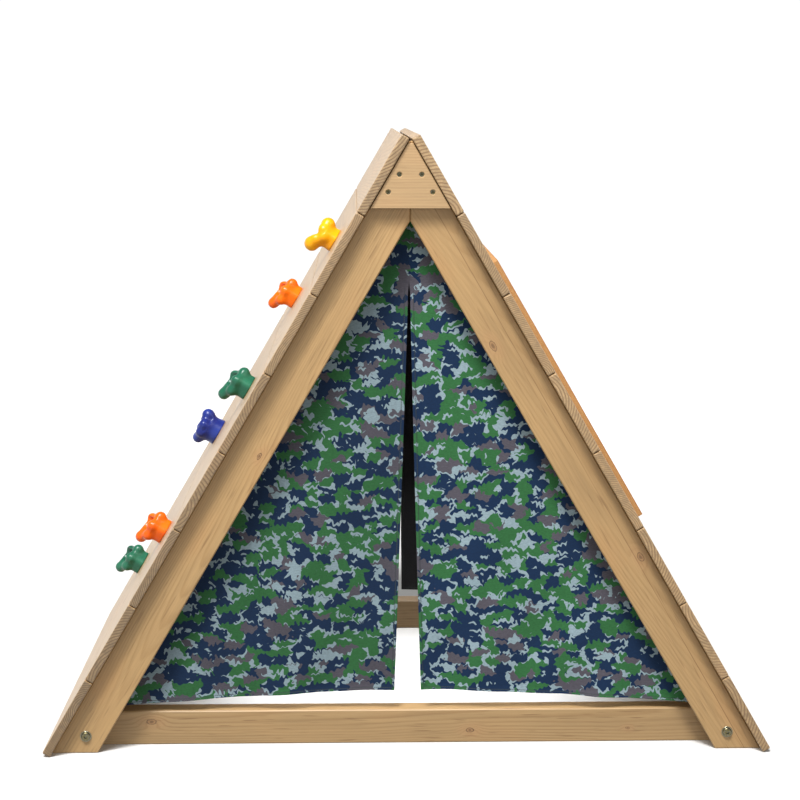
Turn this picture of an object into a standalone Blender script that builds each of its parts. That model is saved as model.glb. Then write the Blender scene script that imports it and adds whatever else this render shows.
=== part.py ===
"""A wooden A-frame play tent that small children climb over and hide inside.

Two sloping plank walls meet at a ridge that runs front to back. The left wall carries climbing holds and
the right wall a chalkboard. Each open end is closed by a slit curtain behind its pair of legs.
Units are metres, +Z up, +X right, +Y to the rear. The origin is on the ground under the object's centre.
"""

import math

import bmesh
import bpy
from mathutils import Matrix, Vector

# The whole frame
SLOPE = math.radians(59.7)
DEPTH = 0.815
FIT_GAP = 0.0003
LEFT, RIGHT = -1, 1
FRONT, REAR = -1, 1
END_NAMES = {FRONT: "front", REAR: "rear"}
SIDE_NAMES = {LEFT: "left", RIGHT: "right"}

# Plank walls
PLANKS_PER_SIDE = 8
PLANK_WIDTH = 0.1545
TOP_PLANK_WIDTH = 0.147
PLANK_GAP = 0.0015
PLANK_THICKNESS = 0.015
PLANK_ROUNDING = 0.0022
RIDGE_GAP = 0.004
WALL_LENGTH = TOP_PLANK_WIDTH + (PLANKS_PER_SIDE - 1) * (PLANK_WIDTH + PLANK_GAP)
RIDGE_HEIGHT = WALL_LENGTH * math.sin(SLOPE)

# Countersinks for the plank screws, two where a plank crosses a leg
PLANK_SCREW_SPREAD = 0.048
COUNTERSINK_RADIUS = 0.0046
COUNTERSINK_TIP_RADIUS = 0.0016
COUNTERSINK_DEPTH = 0.0034

# Legs, crossbars and gussets
END_OVERHANG = 0.020
LEG_WIDTH = 0.070
LEG_THICKNESS = 0.038
LEG_TOP = 1.066
MITRE_GAP = 0.0006
CROSSBAR_HEIGHT = 0.062
CROSSBAR_THICKNESS = 0.036
CROSSBAR_END_GAP = 0.001
GUSSET_THICKNESS = 0.015
GUSSET_BOTTOM = 0.955
GUSSET_TOP = 1.062
GUSSET_SIDE_GAP = 0.0015
EASED_EDGE = 0.0018
LEG_FRONT = DEPTH / 2 - END_OVERHANG
LEG_BACK = LEG_FRONT - LEG_THICKNESS
LEG_CENTRE = LEG_FRONT - LEG_THICKNESS / 2

# Frame bolts with flange nuts
BOLT_PLACE = (0.566, 0.0315)
BOLT_SHANK_RADIUS = 0.0040
BOLT_HOLE_RADIUS = 0.0044
BOLT_HEAD_RADIUS = 0.0082
BOLT_HEAD_HEIGHT = 0.0042
BOLT_SOCKET_RADIUS = 0.0030
BOLT_SOCKET_DEPTH = 0.0026
NUT_ACROSS_CORNERS = 0.0075
NUT_HEIGHT = 0.0080
NUT_FLANGE_RADIUS = 0.0090
NUT_FLANGE_HEIGHT = 0.0016
BOLT_END_BEYOND_NUT = 0.003

# Gusset screws
GUSSET_SCREWS = ((0.0185, 1.011), (0.037, 0.982))
SCREW_HEAD_RADIUS = 0.0046
SCREW_HEAD_DEPTH = 0.0034
SCREW_RADIUS = 0.0020
SCREW_LENGTH = 0.038
SCREW_CLEARANCE = 0.0003

# Chalkboard on the right wall
BOARD_START = 0.253
BOARD_HEIGHT = 0.519
BOARD_WIDTH = 0.675
BOARD_THICKNESS = 0.010
BOARD_SCREW_INSET = 0.022
BOARD_CORNER_EASE = 0.0007

# Climbing holds on the left wall
HOLD_NEAR_Y = -0.1725
HOLD_FAR_Y = 0.0975
HOLD_SEGMENTS = 24
HOLD_BOLT_RADIUS = 0.0040
HOLD_HOLE_RADIUS = 0.0045
HOLD_SEAT_RADIUS = 0.0095
HOLD_SEAT_HEIGHT = 0.020
HOLD_BOLT_HEAD_RADIUS = 0.0065
HOLD_BOLT_HEAD_HEIGHT = 0.0080
HOLD_BOLT_END = 0.006

# Curtains, fastened behind the legs
CLOTH_THICKNESS = 0.002
CLOTH_GAP = 0.0005
BAND_OVERLAP = 0.025
BAND_INSIDE = 0.004
BAND_BOTTOM = 0.068
BAND_TOP = 0.975
FLAP_TOP = 0.820
FLAP_GAP = 0.003
HINGE_GAP = 0.0015
SLIT_HALF_TOP = 0.0015
SLIT_HALF_HEM = {FRONT: 0.0243, REAR: 0.009}
SLIT_CURVE = 1.12
SLIT_STEPS = 6
HEM_CENTRE = {FRONT: 0.100, REAR: 0.077}
HEM_CORNER = {FRONT: 0.072, REAR: 0.070}

SMOOTH_ANGLE = math.radians(35)
ROUND_SEGMENTS = 12

PARTS = "play_tent"
CUTTERS = "cutters"

# name: base colour, roughness, metallic
MATERIALS = {
    "pine_plank": ((0.78, 0.66, 0.48), 0.60, 0.0),
    "pine_frame": ((0.62, 0.41, 0.21), 0.55, 0.0),
    "chalkboard_panel": ((0.02, 0.025, 0.024), 0.85, 0.0),
    "yellow_plastic": ((0.93, 0.52, 0.01), 0.25, 0.0),
    "orange_plastic": ((0.95, 0.17, 0.01), 0.25, 0.0),
    "green_plastic": ((0.03, 0.20, 0.11), 0.28, 0.0),
    "blue_plastic": ((0.04, 0.05, 0.42), 0.25, 0.0),
    "zinc_steel": ((0.62, 0.60, 0.52), 0.32, 1.0),
    "camouflage_cloth": ((0.10, 0.17, 0.12), 0.90, 0.0),
}


# Scene, materials and small helpers


def clear_scene():
    for obj in list(bpy.data.objects):
        bpy.data.objects.remove(obj, do_unlink=True)


def new_collection(name):
    collection = bpy.data.collections.new(name)
    bpy.context.scene.collection.children.link(collection)
    return collection


def make_material(name):
    colour, roughness, metallic = MATERIALS[name]
    material = bpy.data.materials.new(name)
    material.use_nodes = True
    shader = material.node_tree.nodes["Principled BSDF"]
    shader.inputs["Base Color"].default_value = (*colour, 1.0)
    shader.inputs["Roughness"].default_value = roughness
    shader.inputs["Metallic"].default_value = metallic
    return material


def add_part(name, mesh, material, parent=None, location=(0, 0, 0), rotation=(0, 0, 0)):
    """A named object of the model, in the parts collection."""
    obj = bpy.data.objects.new(name, mesh)
    bpy.data.collections[PARTS].objects.link(obj)
    obj.data.materials.clear()
    obj.data.materials.append(bpy.data.materials[material])
    obj.parent = parent
    obj.location = location
    obj.rotation_euler = rotation
    return obj


def add_cutter(name, mesh, parent=None, location=(0, 0, 0), rotation=(0, 0, 0)):
    obj = bpy.data.objects.new(name, mesh)
    bpy.data.collections[CUTTERS].objects.link(obj)
    obj.parent = parent
    obj.location = location
    obj.rotation_euler = rotation
    obj.hide_render = True
    obj.display_type = "WIRE"
    return obj


def ease_edges(obj, width, segments=1):
    bevel = obj.modifiers.new("eased edges", "BEVEL")
    bevel.width = width
    bevel.segments = segments
    bevel.limit_method = "ANGLE"
    bevel.angle_limit = SMOOTH_ANGLE


def cut(obj, cutter):
    boolean = obj.modifiers.new("cut", "BOOLEAN")
    boolean.operation = "DIFFERENCE"
    boolean.object = cutter


def mesh_from(name, bm):
    mesh = bpy.data.meshes.new(name)
    bm.to_mesh(mesh)
    bm.free()
    return mesh


def shade_round(mesh):
    mesh.shade_smooth()
    mesh.set_sharp_from_angle(angle=SMOOTH_ANGLE)
    return mesh


# Basic shapes


def box_mesh(name, size):
    bm = bmesh.new()
    bmesh.ops.create_cube(bm, size=1.0)
    bmesh.ops.scale(bm, vec=size, verts=bm.verts)
    return mesh_from(name, bm)


def cone_between(bm, low, high, low_radius, high_radius, segments=ROUND_SEGMENTS):
    """Adds a cone or cylinder whose ends are centred on two points."""
    axis = Vector(high) - Vector(low)
    turn = Vector((0, 0, 1)).rotation_difference(axis).to_matrix().to_4x4()
    place = Matrix.Translation((Vector(low) + Vector(high)) / 2) @ turn
    bmesh.ops.create_cone(
        bm,
        cap_ends=True,
        segments=segments,
        radius1=low_radius,
        radius2=high_radius,
        depth=axis.length,
        matrix=place,
    )


def outline_mesh(name, outline, thickness):
    """A flat outline of (x, z) points, thickened evenly to both sides of the plane y = 0."""
    curve = bpy.data.curves.new(name, "CURVE")
    curve.dimensions = "2D"
    curve.fill_mode = "BOTH"
    curve.extrude = thickness / 2
    spline = curve.splines.new("POLY")
    spline.points.add(len(outline) - 1)
    for point, (x, z) in zip(spline.points, outline):
        point.co = (x, z, 0, 1)
    spline.use_cyclic_u = True
    guide = bpy.data.objects.new(name, curve)
    bpy.context.scene.collection.objects.link(guide)
    evaluated = guide.evaluated_get(bpy.context.evaluated_depsgraph_get())
    filled = bpy.data.meshes.new_from_object(evaluated)
    bpy.data.objects.remove(guide)

    bm = bmesh.new()
    bm.from_mesh(filled)
    bpy.data.meshes.remove(filled)
    bmesh.ops.remove_doubles(bm, verts=bm.verts, dist=0.00001)
    bmesh.ops.dissolve_limit(
        bm, angle_limit=math.radians(0.5), verts=bm.verts, edges=bm.edges
    )
    bmesh.ops.rotate(bm, verts=bm.verts, matrix=Matrix.Rotation(math.radians(90), 3, "X"))
    bmesh.ops.recalc_face_normals(bm, faces=bm.faces)
    return mesh_from(name, bm)


def turned_mesh(name, profile, segments=ROUND_SEGMENTS):
    """A piece turned about +Z from (radius, height) points that run down its outer side."""
    bm = bmesh.new()
    points = [bm.verts.new((radius, 0, height)) for radius, height in profile]
    for upper, lower in zip(points, points[1:]):
        bm.edges.new((upper, lower))
    guide = bpy.data.objects.new(name, mesh_from(name, bm))
    bpy.context.scene.collection.objects.link(guide)
    screw = guide.modifiers.new("turn", "SCREW")
    screw.steps = segments
    screw.render_steps = segments
    screw.use_merge_vertices = True
    screw.merge_threshold = 0.00001
    evaluated = guide.evaluated_get(bpy.context.evaluated_depsgraph_get())
    turned = bpy.data.meshes.new_from_object(evaluated)
    bpy.data.objects.remove(guide)

    bm = bmesh.new()
    bm.from_mesh(turned)
    bpy.data.meshes.remove(turned)
    bmesh.ops.remove_doubles(bm, verts=bm.verts, dist=0.00001)
    bmesh.ops.recalc_face_normals(bm, faces=bm.faces)
    return shade_round(mesh_from(name, bm))


# Places on the sloping walls


def wall_x(height, inset):
    """How far from the middle a line lies that runs parallel to a wall, this far inside its inner face."""
    return RIDGE_GAP / 2 + (RIDGE_HEIGHT - height) / math.tan(SLOPE) - inset / math.sin(SLOPE)


def line_height(x, inset):
    """The height at which the same line reaches a distance from the middle."""
    return RIDGE_HEIGHT - (x - RIDGE_GAP / 2 + inset / math.sin(SLOPE)) * math.tan(SLOPE)


def wall_frame(side):
    """An empty at a wall's top inner edge. Its X runs along the slope and its Z points out of the wall."""
    empty = bpy.data.objects.new(f"{SIDE_NAMES[side]}_wall", None)
    bpy.data.collections[PARTS].objects.link(empty)
    empty.location = (side * RIDGE_GAP / 2, 0, RIDGE_HEIGHT)
    empty.rotation_euler = (0, side * SLOPE, 0)
    return empty


def plank_span(number):
    """Where a plank starts and ends, measured down the slope. The planks count from 1 at the ridge."""
    if number == 1:
        return 0.0, TOP_PLANK_WIDTH
    start = TOP_PLANK_WIDTH + PLANK_GAP + (number - 2) * (PLANK_WIDTH + PLANK_GAP)
    return start, start + PLANK_WIDTH


def plank_middle(number):
    return sum(plank_span(number)) / 2


# The plank walls


def countersink_mesh(name, places, depth_scale=1.0):
    """One cutter with a countersink at each (x, y) place, opening at z = 0."""
    bm = bmesh.new()
    depth = COUNTERSINK_DEPTH * depth_scale
    lift = 0.0005
    widening = (COUNTERSINK_RADIUS - COUNTERSINK_TIP_RADIUS) * lift / depth
    for x, y in places:
        cone_between(
            bm,
            (x, y, -depth),
            (x, y, lift),
            COUNTERSINK_TIP_RADIUS,
            COUNTERSINK_RADIUS + widening,
            segments=10,
        )
    return mesh_from(name, bm)


def plank_screw_places():
    return [
        (along, end * LEG_CENTRE)
        for along in (-PLANK_SCREW_SPREAD, PLANK_SCREW_SPREAD)
        for end in (FRONT, REAR)
    ]


def build_plank(side, number, wall, countersinks):
    start, finish = plank_span(number)
    name = f"{SIDE_NAMES[side]}_plank_{number}"
    mesh = box_mesh(name, (finish - start, DEPTH, PLANK_THICKNESS))
    middle = side * (start + finish) / 2
    plank = add_part(name, mesh, "pine_plank", wall, (middle, 0, PLANK_THICKNESS / 2))
    ease_edges(plank, PLANK_ROUNDING, segments=2)
    cut(plank, add_cutter(f"{name}_countersinks", countersinks, wall, (middle, 0, PLANK_THICKNESS)))
    return plank


def build_walls(walls):
    countersinks = countersink_mesh("plank_countersinks", plank_screw_places())
    return {
        (side, number): build_plank(side, number, walls[side], countersinks)
        for side in (LEFT, RIGHT)
        for number in range(1, PLANKS_PER_SIDE + 1)
    }


# The frame


def leg_outline(side):
    outer = FIT_GAP
    inner = FIT_GAP + LEG_WIDTH
    mitre = MITRE_GAP / 2
    points = [
        (wall_x(0, outer), 0),
        (wall_x(LEG_TOP, outer), LEG_TOP),
        (mitre, LEG_TOP),
        (mitre, line_height(mitre, inner)),
        (wall_x(0, inner), 0),
    ]
    return [(side * x, z) for x, z in points]


def build_leg(side, end):
    name = f"{END_NAMES[end]}_{SIDE_NAMES[side]}_leg"
    mesh = outline_mesh(name, leg_outline(side), LEG_THICKNESS)
    leg = add_part(name, mesh, "pine_frame", location=(0, end * LEG_CENTRE, 0))
    ease_edges(leg, EASED_EDGE)
    return leg


def build_crossbar(end):
    name = f"{END_NAMES[end]}_crossbar"
    low, high = (wall_x(z, CROSSBAR_END_GAP) for z in (0, CROSSBAR_HEIGHT))
    outline = [(-low, 0), (low, 0), (high, CROSSBAR_HEIGHT), (-high, CROSSBAR_HEIGHT)]
    middle = LEG_BACK - FIT_GAP - CROSSBAR_THICKNESS / 2
    mesh = outline_mesh(name, outline, CROSSBAR_THICKNESS)
    bar = add_part(name, mesh, "pine_frame", location=(0, end * middle, 0))
    ease_edges(bar, EASED_EDGE)
    return bar


def build_gusset(end):
    name = f"{END_NAMES[end]}_gusset"
    low, high = (wall_x(z, GUSSET_SIDE_GAP) for z in (GUSSET_BOTTOM, GUSSET_TOP))
    outline = [(-low, GUSSET_BOTTOM), (low, GUSSET_BOTTOM), (high, GUSSET_TOP), (-high, GUSSET_TOP)]
    middle = LEG_FRONT + FIT_GAP + GUSSET_THICKNESS / 2
    mesh = outline_mesh(name, outline, GUSSET_THICKNESS)
    gusset = add_part(name, mesh, "pine_frame", location=(0, end * middle, 0))
    ease_edges(gusset, EASED_EDGE / 2)
    return gusset


# Fasteners of the frame


def facing(end):
    """The rotation that turns a piece's +Z to point out of the front or the rear of the frame."""
    return (math.radians(90) if end == FRONT else math.radians(-90), 0, 0)


def bolt_mesh():
    nut_end = CROSSBAR_THICKNESS + LEG_THICKNESS + 2 * FIT_GAP + NUT_HEIGHT
    tip = -(nut_end + BOLT_END_BEYOND_NUT)
    dome = BOLT_HEAD_HEIGHT
    profile = [
        (0, dome - BOLT_SOCKET_DEPTH),
        (BOLT_SOCKET_RADIUS, dome - BOLT_SOCKET_DEPTH),
        (BOLT_SOCKET_RADIUS, dome),
        (BOLT_HEAD_RADIUS * 0.72, dome * 0.93),
        (BOLT_HEAD_RADIUS * 0.93, dome * 0.62),
        (BOLT_HEAD_RADIUS, FIT_GAP),
        (BOLT_SHANK_RADIUS, FIT_GAP),
        (BOLT_SHANK_RADIUS, tip + 0.0008),
        (BOLT_SHANK_RADIUS - 0.0008, tip),
        (0, tip),
    ]
    return turned_mesh("frame_bolt", profile)


def nut_mesh():
    """A flange nut. Its flange rests at z = 0 and its bore runs through."""
    profile = [
        (BOLT_HOLE_RADIUS, NUT_FLANGE_HEIGHT),
        (NUT_FLANGE_RADIUS * 0.8, NUT_FLANGE_HEIGHT),
        (NUT_FLANGE_RADIUS, NUT_FLANGE_HEIGHT * 0.5),
        (NUT_FLANGE_RADIUS, 0),
        (BOLT_HOLE_RADIUS, 0),
        (BOLT_HOLE_RADIUS, NUT_FLANGE_HEIGHT),
    ]
    return turned_mesh("nut_flange", profile, segments=18)


def hexagon_mesh():
    bm = bmesh.new()
    low = NUT_FLANGE_HEIGHT * 0.6
    cone_between(bm, (0, 0, low), (0, 0, NUT_HEIGHT), NUT_ACROSS_CORNERS, NUT_ACROSS_CORNERS, 6)
    return mesh_from("nut_hexagon", bm)


def bore_mesh(name, radius, low, high):
    bm = bmesh.new()
    cone_between(bm, (0, 0, low), (0, 0, high), radius, radius)
    return mesh_from(name, bm)


def build_frame_bolts(legs, crossbars):
    bolt = bolt_mesh()
    flange = nut_mesh()
    hexagon = hexagon_mesh()
    bore = bore_mesh("bolt_bore", BOLT_HOLE_RADIUS, -0.12, 0.02)
    x, z = BOLT_PLACE
    nut_y = LEG_BACK - CROSSBAR_THICKNESS - 2 * FIT_GAP
    for end in (FRONT, REAR):
        for side in (LEFT, RIGHT):
            label = f"{END_NAMES[end]}_{SIDE_NAMES[side]}"
            head = (side * x, end * LEG_FRONT, z)
            add_part(f"{label}_frame_bolt", bolt, "zinc_steel", None, head, facing(end))
            hole = add_cutter(f"{label}_bolt_hole", bore, None, head, facing(end))
            cut(legs[side, end], hole)
            cut(crossbars[end], hole)
            seat = (side * x, end * nut_y, z)
            nut = add_part(f"{label}_frame_nut", flange.copy(), "zinc_steel", None, seat, facing(-end))
            body = add_cutter(f"{label}_nut_body", hexagon, None, seat, facing(-end))
            join = nut.modifiers.new("hexagon", "BOOLEAN")
            join.operation = "UNION"
            join.object = body
            cut(nut, hole)


def gusset_screw_mesh():
    tip = -SCREW_LENGTH
    profile = [
        (0, -SCREW_CLEARANCE),
        (SCREW_HEAD_RADIUS - SCREW_CLEARANCE, -SCREW_CLEARANCE),
        (SCREW_RADIUS, -SCREW_HEAD_DEPTH),
        (SCREW_RADIUS, tip + 0.005),
        (0, tip),
    ]
    return turned_mesh("gusset_screw", profile, segments=12)


def gusset_screw_hole_mesh():
    bm = bmesh.new()
    lift = 0.0005
    radius = SCREW_RADIUS + SCREW_CLEARANCE
    slope = (SCREW_HEAD_RADIUS - SCREW_RADIUS) / SCREW_HEAD_DEPTH
    deep = SCREW_HEAD_DEPTH + SCREW_CLEARANCE
    cone_between(bm, (0, 0, -deep), (0, 0, lift), radius, radius + slope * (deep + lift), 12)
    head = mesh_from("gusset_screw_head_hole", bm)
    shank = bore_mesh("gusset_screw_shank_hole", radius, -SCREW_LENGTH - 0.001, -SCREW_HEAD_DEPTH)
    return head, shank


def build_gusset_screws(legs, gussets):
    screw = gusset_screw_mesh()
    head_hole, shank_hole = gusset_screw_hole_mesh()
    face = LEG_FRONT + FIT_GAP + GUSSET_THICKNESS
    for end in (FRONT, REAR):
        for side in (LEFT, RIGHT):
            for row, (x, z) in enumerate(GUSSET_SCREWS, start=1):
                name = f"{END_NAMES[end]}_{SIDE_NAMES[side]}_gusset_screw_{row}"
                place = (side * x, end * face, z)
                add_part(name, screw, "zinc_steel", None, place, facing(end))
                head = add_cutter(f"{name}_head_hole", head_hole, None, place, facing(end))
                shank = add_cutter(f"{name}_shank_hole", shank_hole, None, place, facing(end))
                cut(gussets[end], head)
                cut(gussets[end], shank)
                cut(legs[side, end], shank)


# The chalkboard


def board_screw_places():
    reach_x = BOARD_HEIGHT / 2 - BOARD_SCREW_INSET
    reach_y = BOARD_WIDTH / 2 - BOARD_SCREW_INSET
    return [(x, y) for x in (-reach_x, reach_x) for y in (-reach_y, 0, reach_y)]


def build_chalkboard(wall):
    mesh = box_mesh("chalkboard", (BOARD_HEIGHT, BOARD_WIDTH, BOARD_THICKNESS))
    middle = BOARD_START + BOARD_HEIGHT / 2
    lift = PLANK_THICKNESS + FIT_GAP
    place = (middle, 0, lift + BOARD_THICKNESS / 2)
    board = add_part("chalkboard", mesh, "chalkboard_panel", wall, place)
    ease_edges(board, BOARD_CORNER_EASE)
    countersinks = countersink_mesh("board_countersinks", board_screw_places(), 0.7)
    top = (middle, 0, lift + BOARD_THICKNESS)
    cut(board, add_cutter("board_countersinks", countersinks, wall, top))


# The climbing holds


def lobe_weight(angle, centre, spread):
    away = (angle - centre + math.pi) % (2 * math.pi) - math.pi
    return math.exp(-((away / spread) ** 2))


def hold_rings(lobes, valley, spread, neck):
    """The hold's rings of points, from its foot up the outside, over the lobes and down the bolt hole.

    Each lobe is (angle from the downhill direction in degrees, reach from the bolt, height of its crest).
    valley is the (reach, height) of the rim between lobes.
    """
    angles = [2 * math.pi * i / HOLD_SEGMENTS for i in range(HOLD_SEGMENTS)]
    rim = []
    for angle in angles:
        weights = [lobe_weight(angle, math.radians(lobe[0]), spread) for lobe in lobes]
        total = max(1.0, sum(weights))
        reach = valley[0] + sum(w * (lobe[1] - valley[0]) for w, lobe in zip(weights, lobes)) / total
        crest = valley[1] + sum(w * (lobe[2] - valley[1]) for w, lobe in zip(weights, lobes)) / total
        rim.append((reach, crest))

    def ring(shape):
        return [
            (radius * math.cos(angle), radius * math.sin(angle), height)
            for angle, (reach, crest) in zip(angles, rim)
            for radius, height in [shape(reach, crest)]
        ]

    return [
        ring(lambda reach, crest: (neck, 0)),
        ring(lambda reach, crest: (neck - 0.0018, 0.008)),
        ring(lambda reach, crest: (0.8 * neck + 0.2 * reach - 0.001, 0.45 * crest)),
        ring(lambda reach, crest: (0.25 * neck + 0.75 * reach, 0.62 * crest)),
        ring(lambda reach, crest: (reach, 0.80 * crest)),
        ring(lambda reach, crest: (0.93 * reach, 0.95 * crest)),
        ring(lambda reach, crest: (0.78 * reach, crest)),
        ring(lambda reach, crest: (0.55 * reach, 0.93 * crest)),
        ring(lambda reach, crest: (0.30 * reach + 0.4 * HOLD_SEAT_RADIUS, 0.75 * crest)),
        ring(lambda reach, crest: (HOLD_SEAT_RADIUS, HOLD_SEAT_HEIGHT)),
        ring(lambda reach, crest: (HOLD_HOLE_RADIUS, HOLD_SEAT_HEIGHT)),
        ring(lambda reach, crest: (HOLD_HOLE_RADIUS, 0)),
    ]


def lofted_loop_mesh(name, rings):
    """A closed skin over rings of equal count, whose last ring joins back to its first."""
    bm = bmesh.new()
    loops = [[bm.verts.new(point) for point in ring] for ring in rings]
    for lower, upper in zip(loops, loops[1:] + loops[:1]):
        for i in range(len(lower)):
            j = (i + 1) % len(lower)
            bm.faces.new((lower[i], lower[j], upper[j], upper[i]))
    bmesh.ops.recalc_face_normals(bm, faces=bm.faces)
    return shade_round(mesh_from(name, bm))


STAR_LOBES = (
    (0, 0.042, 0.041),
    (72, 0.035, 0.045),
    (144, 0.033, 0.036),
    (216, 0.033, 0.036),
    (288, 0.035, 0.045),
)
CLOVER_LOBES = ((8, 0.040, 0.049), (128, 0.035, 0.041), (236, 0.036, 0.040))
CUP_LOBES = ((0, 0.038, 0.045), (90, 0.032, 0.047), (180, 0.038, 0.045), (270, 0.032, 0.047))

# hold number: plank, place along the plank, lobes, rim between lobes, lobe spread, neck radius, turn, plastic
HOLDS = (
    (2, HOLD_NEAR_Y, CLOVER_LOBES, (0.025, 0.032), 0.58, 0.0225, 0, "yellow_plastic"),
    (3, HOLD_FAR_Y, STAR_LOBES, (0.027, 0.034), 0.44, 0.0235, 0, "orange_plastic"),
    (4, HOLD_NEAR_Y, STAR_LOBES, (0.027, 0.034), 0.44, 0.0235, 4, "green_plastic"),
    (5, HOLD_FAR_Y, CUP_LOBES, (0.029, 0.038), 0.50, 0.0250, 0, "blue_plastic"),
    (6, HOLD_NEAR_Y, STAR_LOBES, (0.027, 0.034), 0.44, 0.0240, -6, "orange_plastic"),
    (7, HOLD_FAR_Y, STAR_LOBES, (0.027, 0.034), 0.44, 0.0235, 10, "green_plastic"),
)


def hold_bolt_mesh():
    top = HOLD_SEAT_HEIGHT + FIT_GAP + HOLD_BOLT_HEAD_HEIGHT
    tip = -(PLANK_THICKNESS + HOLD_BOLT_END)
    profile = [
        (0, top - 0.004),
        (0.0032, top - 0.004),
        (0.0032, top),
        (HOLD_BOLT_HEAD_RADIUS - 0.0006, top),
        (HOLD_BOLT_HEAD_RADIUS, top - 0.0006),
        (HOLD_BOLT_HEAD_RADIUS, HOLD_SEAT_HEIGHT + FIT_GAP),
        (HOLD_BOLT_RADIUS, HOLD_SEAT_HEIGHT + FIT_GAP),
        (HOLD_BOLT_RADIUS, tip),
        (0, tip),
    ]
    return turned_mesh("hold_bolt", profile)


def build_holds(wall, planks):
    bolt = hold_bolt_mesh()
    bore = bore_mesh("hold_bore", HOLD_HOLE_RADIUS, -PLANK_THICKNESS - 0.01, 0.01)
    for number, (plank, y, lobes, valley, spread, neck, turn, plastic) in enumerate(HOLDS, start=1):
        foot = (-plank_middle(plank), y, PLANK_THICKNESS + FIT_GAP)
        downhill = (0, 0, math.pi + math.radians(turn))
        mesh = lofted_loop_mesh(f"climbing_hold_{number}", hold_rings(lobes, valley, spread, neck))
        add_part(f"climbing_hold_{number}", mesh, plastic, wall, foot, downhill)
        add_part(f"hold_bolt_{number}", bolt, "zinc_steel", wall, foot)
        hole = add_cutter(f"hold_hole_{number}", bore, wall, foot)
        cut(planks[LEFT, plank], hole)


# The curtains

CLOTH_PLANE = LEG_BACK - CLOTH_GAP - CLOTH_THICKNESS / 2
BAND_OUTER = FIT_GAP + LEG_WIDTH - BAND_OVERLAP
BAND_INNER = FIT_GAP + LEG_WIDTH + BAND_INSIDE
FLAP_HINGE = BAND_INNER + HINGE_GAP


def header_outline():
    """The fixed part: a band behind each leg and the closed peak above the slit."""
    peak_bottom = FLAP_TOP + FLAP_GAP
    right = [
        (wall_x(BAND_TOP, BAND_OUTER), BAND_TOP),
        (wall_x(BAND_BOTTOM, BAND_OUTER), BAND_BOTTOM),
        (wall_x(BAND_BOTTOM, BAND_INNER), BAND_BOTTOM),
        (wall_x(peak_bottom, BAND_INNER), peak_bottom),
    ]
    return right + [(-x, z) for x, z in reversed(right)]


def flap_outline(side, end):
    """One half of the curtain, from its fastened slope to the slit, whose edge bows open towards the hem."""
    hem = HEM_CENTRE[end]
    corner = HEM_CORNER[end]
    points = [(wall_x(corner, FLAP_HINGE), corner), (wall_x(FLAP_TOP, FLAP_HINGE), FLAP_TOP)]
    for step in range(SLIT_STEPS + 1):
        share = step / SLIT_STEPS
        opening = (SLIT_HALF_HEM[end] - SLIT_HALF_TOP) * share**SLIT_CURVE
        points.append((SLIT_HALF_TOP + opening, FLAP_TOP + (hem - FLAP_TOP) * share))
    return [(side * x, z) for x, z in points]


def build_curtains():
    for end in (FRONT, REAR):
        place = (0, end * CLOTH_PLANE, 0)
        name = f"{END_NAMES[end]}_curtain_header"
        mesh = outline_mesh(name, header_outline(), CLOTH_THICKNESS)
        add_part(name, mesh, "camouflage_cloth", location=place)
        for side in (LEFT, RIGHT):
            name = f"{END_NAMES[end]}_{SIDE_NAMES[side]}_flap"
            axis = Vector((side * wall_x(FLAP_TOP, FLAP_HINGE), end * CLOTH_PLANE, FLAP_TOP))
            mesh = outline_mesh(name, flap_outline(side, end), CLOTH_THICKNESS)
            mesh.transform(Matrix.Translation(Vector(place) - axis))
            add_part(name, mesh, "camouflage_cloth", location=axis)


def main():
    clear_scene()
    new_collection(PARTS)
    new_collection(CUTTERS)
    for name in MATERIALS:
        make_material(name)
    walls = {side: wall_frame(side) for side in (LEFT, RIGHT)}
    planks = build_walls(walls)
    legs = {(side, end): build_leg(side, end) for side in (LEFT, RIGHT) for end in (FRONT, REAR)}
    crossbars = {end: build_crossbar(end) for end in (FRONT, REAR)}
    gussets = {end: build_gusset(end) for end in (FRONT, REAR)}
    build_frame_bolts(legs, crossbars)
    build_gusset_screws(legs, gussets)
    build_chalkboard(walls[RIGHT])
    build_holds(walls[LEFT], planks)
    build_curtains()


main()
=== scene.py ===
"""The looks of the wooden play tent: pine, moulded plastic, zinc, chalkboard and hung camouflage cloth."""

import itertools
import math
import random

import bmesh
import bpy
import numpy as np
from mathutils import Matrix, Vector


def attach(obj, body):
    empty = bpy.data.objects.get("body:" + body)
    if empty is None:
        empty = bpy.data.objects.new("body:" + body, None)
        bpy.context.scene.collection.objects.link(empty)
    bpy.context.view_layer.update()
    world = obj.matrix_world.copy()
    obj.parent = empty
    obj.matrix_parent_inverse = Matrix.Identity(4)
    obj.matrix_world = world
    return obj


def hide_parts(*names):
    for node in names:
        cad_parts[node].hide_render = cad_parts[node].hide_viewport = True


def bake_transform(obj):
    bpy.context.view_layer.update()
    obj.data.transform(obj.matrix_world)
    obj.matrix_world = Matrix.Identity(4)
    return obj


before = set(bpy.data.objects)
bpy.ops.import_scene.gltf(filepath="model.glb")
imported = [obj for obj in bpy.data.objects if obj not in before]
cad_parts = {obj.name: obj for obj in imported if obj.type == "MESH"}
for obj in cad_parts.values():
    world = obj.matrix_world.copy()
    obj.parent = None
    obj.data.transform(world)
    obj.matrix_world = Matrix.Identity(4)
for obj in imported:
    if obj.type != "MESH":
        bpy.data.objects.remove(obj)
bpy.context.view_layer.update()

# Sizes of the CAD model, in metres

SLOPE = math.radians(59.7)
SIN, COS, TAN = math.sin(SLOPE), math.cos(SLOPE), math.tan(SLOPE)
LEFT, RIGHT = -1, 1
FRONT, REAR = -1, 1
SIDE_NAMES = {LEFT: "left", RIGHT: "right"}
END_NAMES = {FRONT: "front", REAR: "rear"}
CORNERS = tuple(itertools.product((FRONT, REAR), (LEFT, RIGHT)))
FIT_GAP = 0.0003

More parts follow.
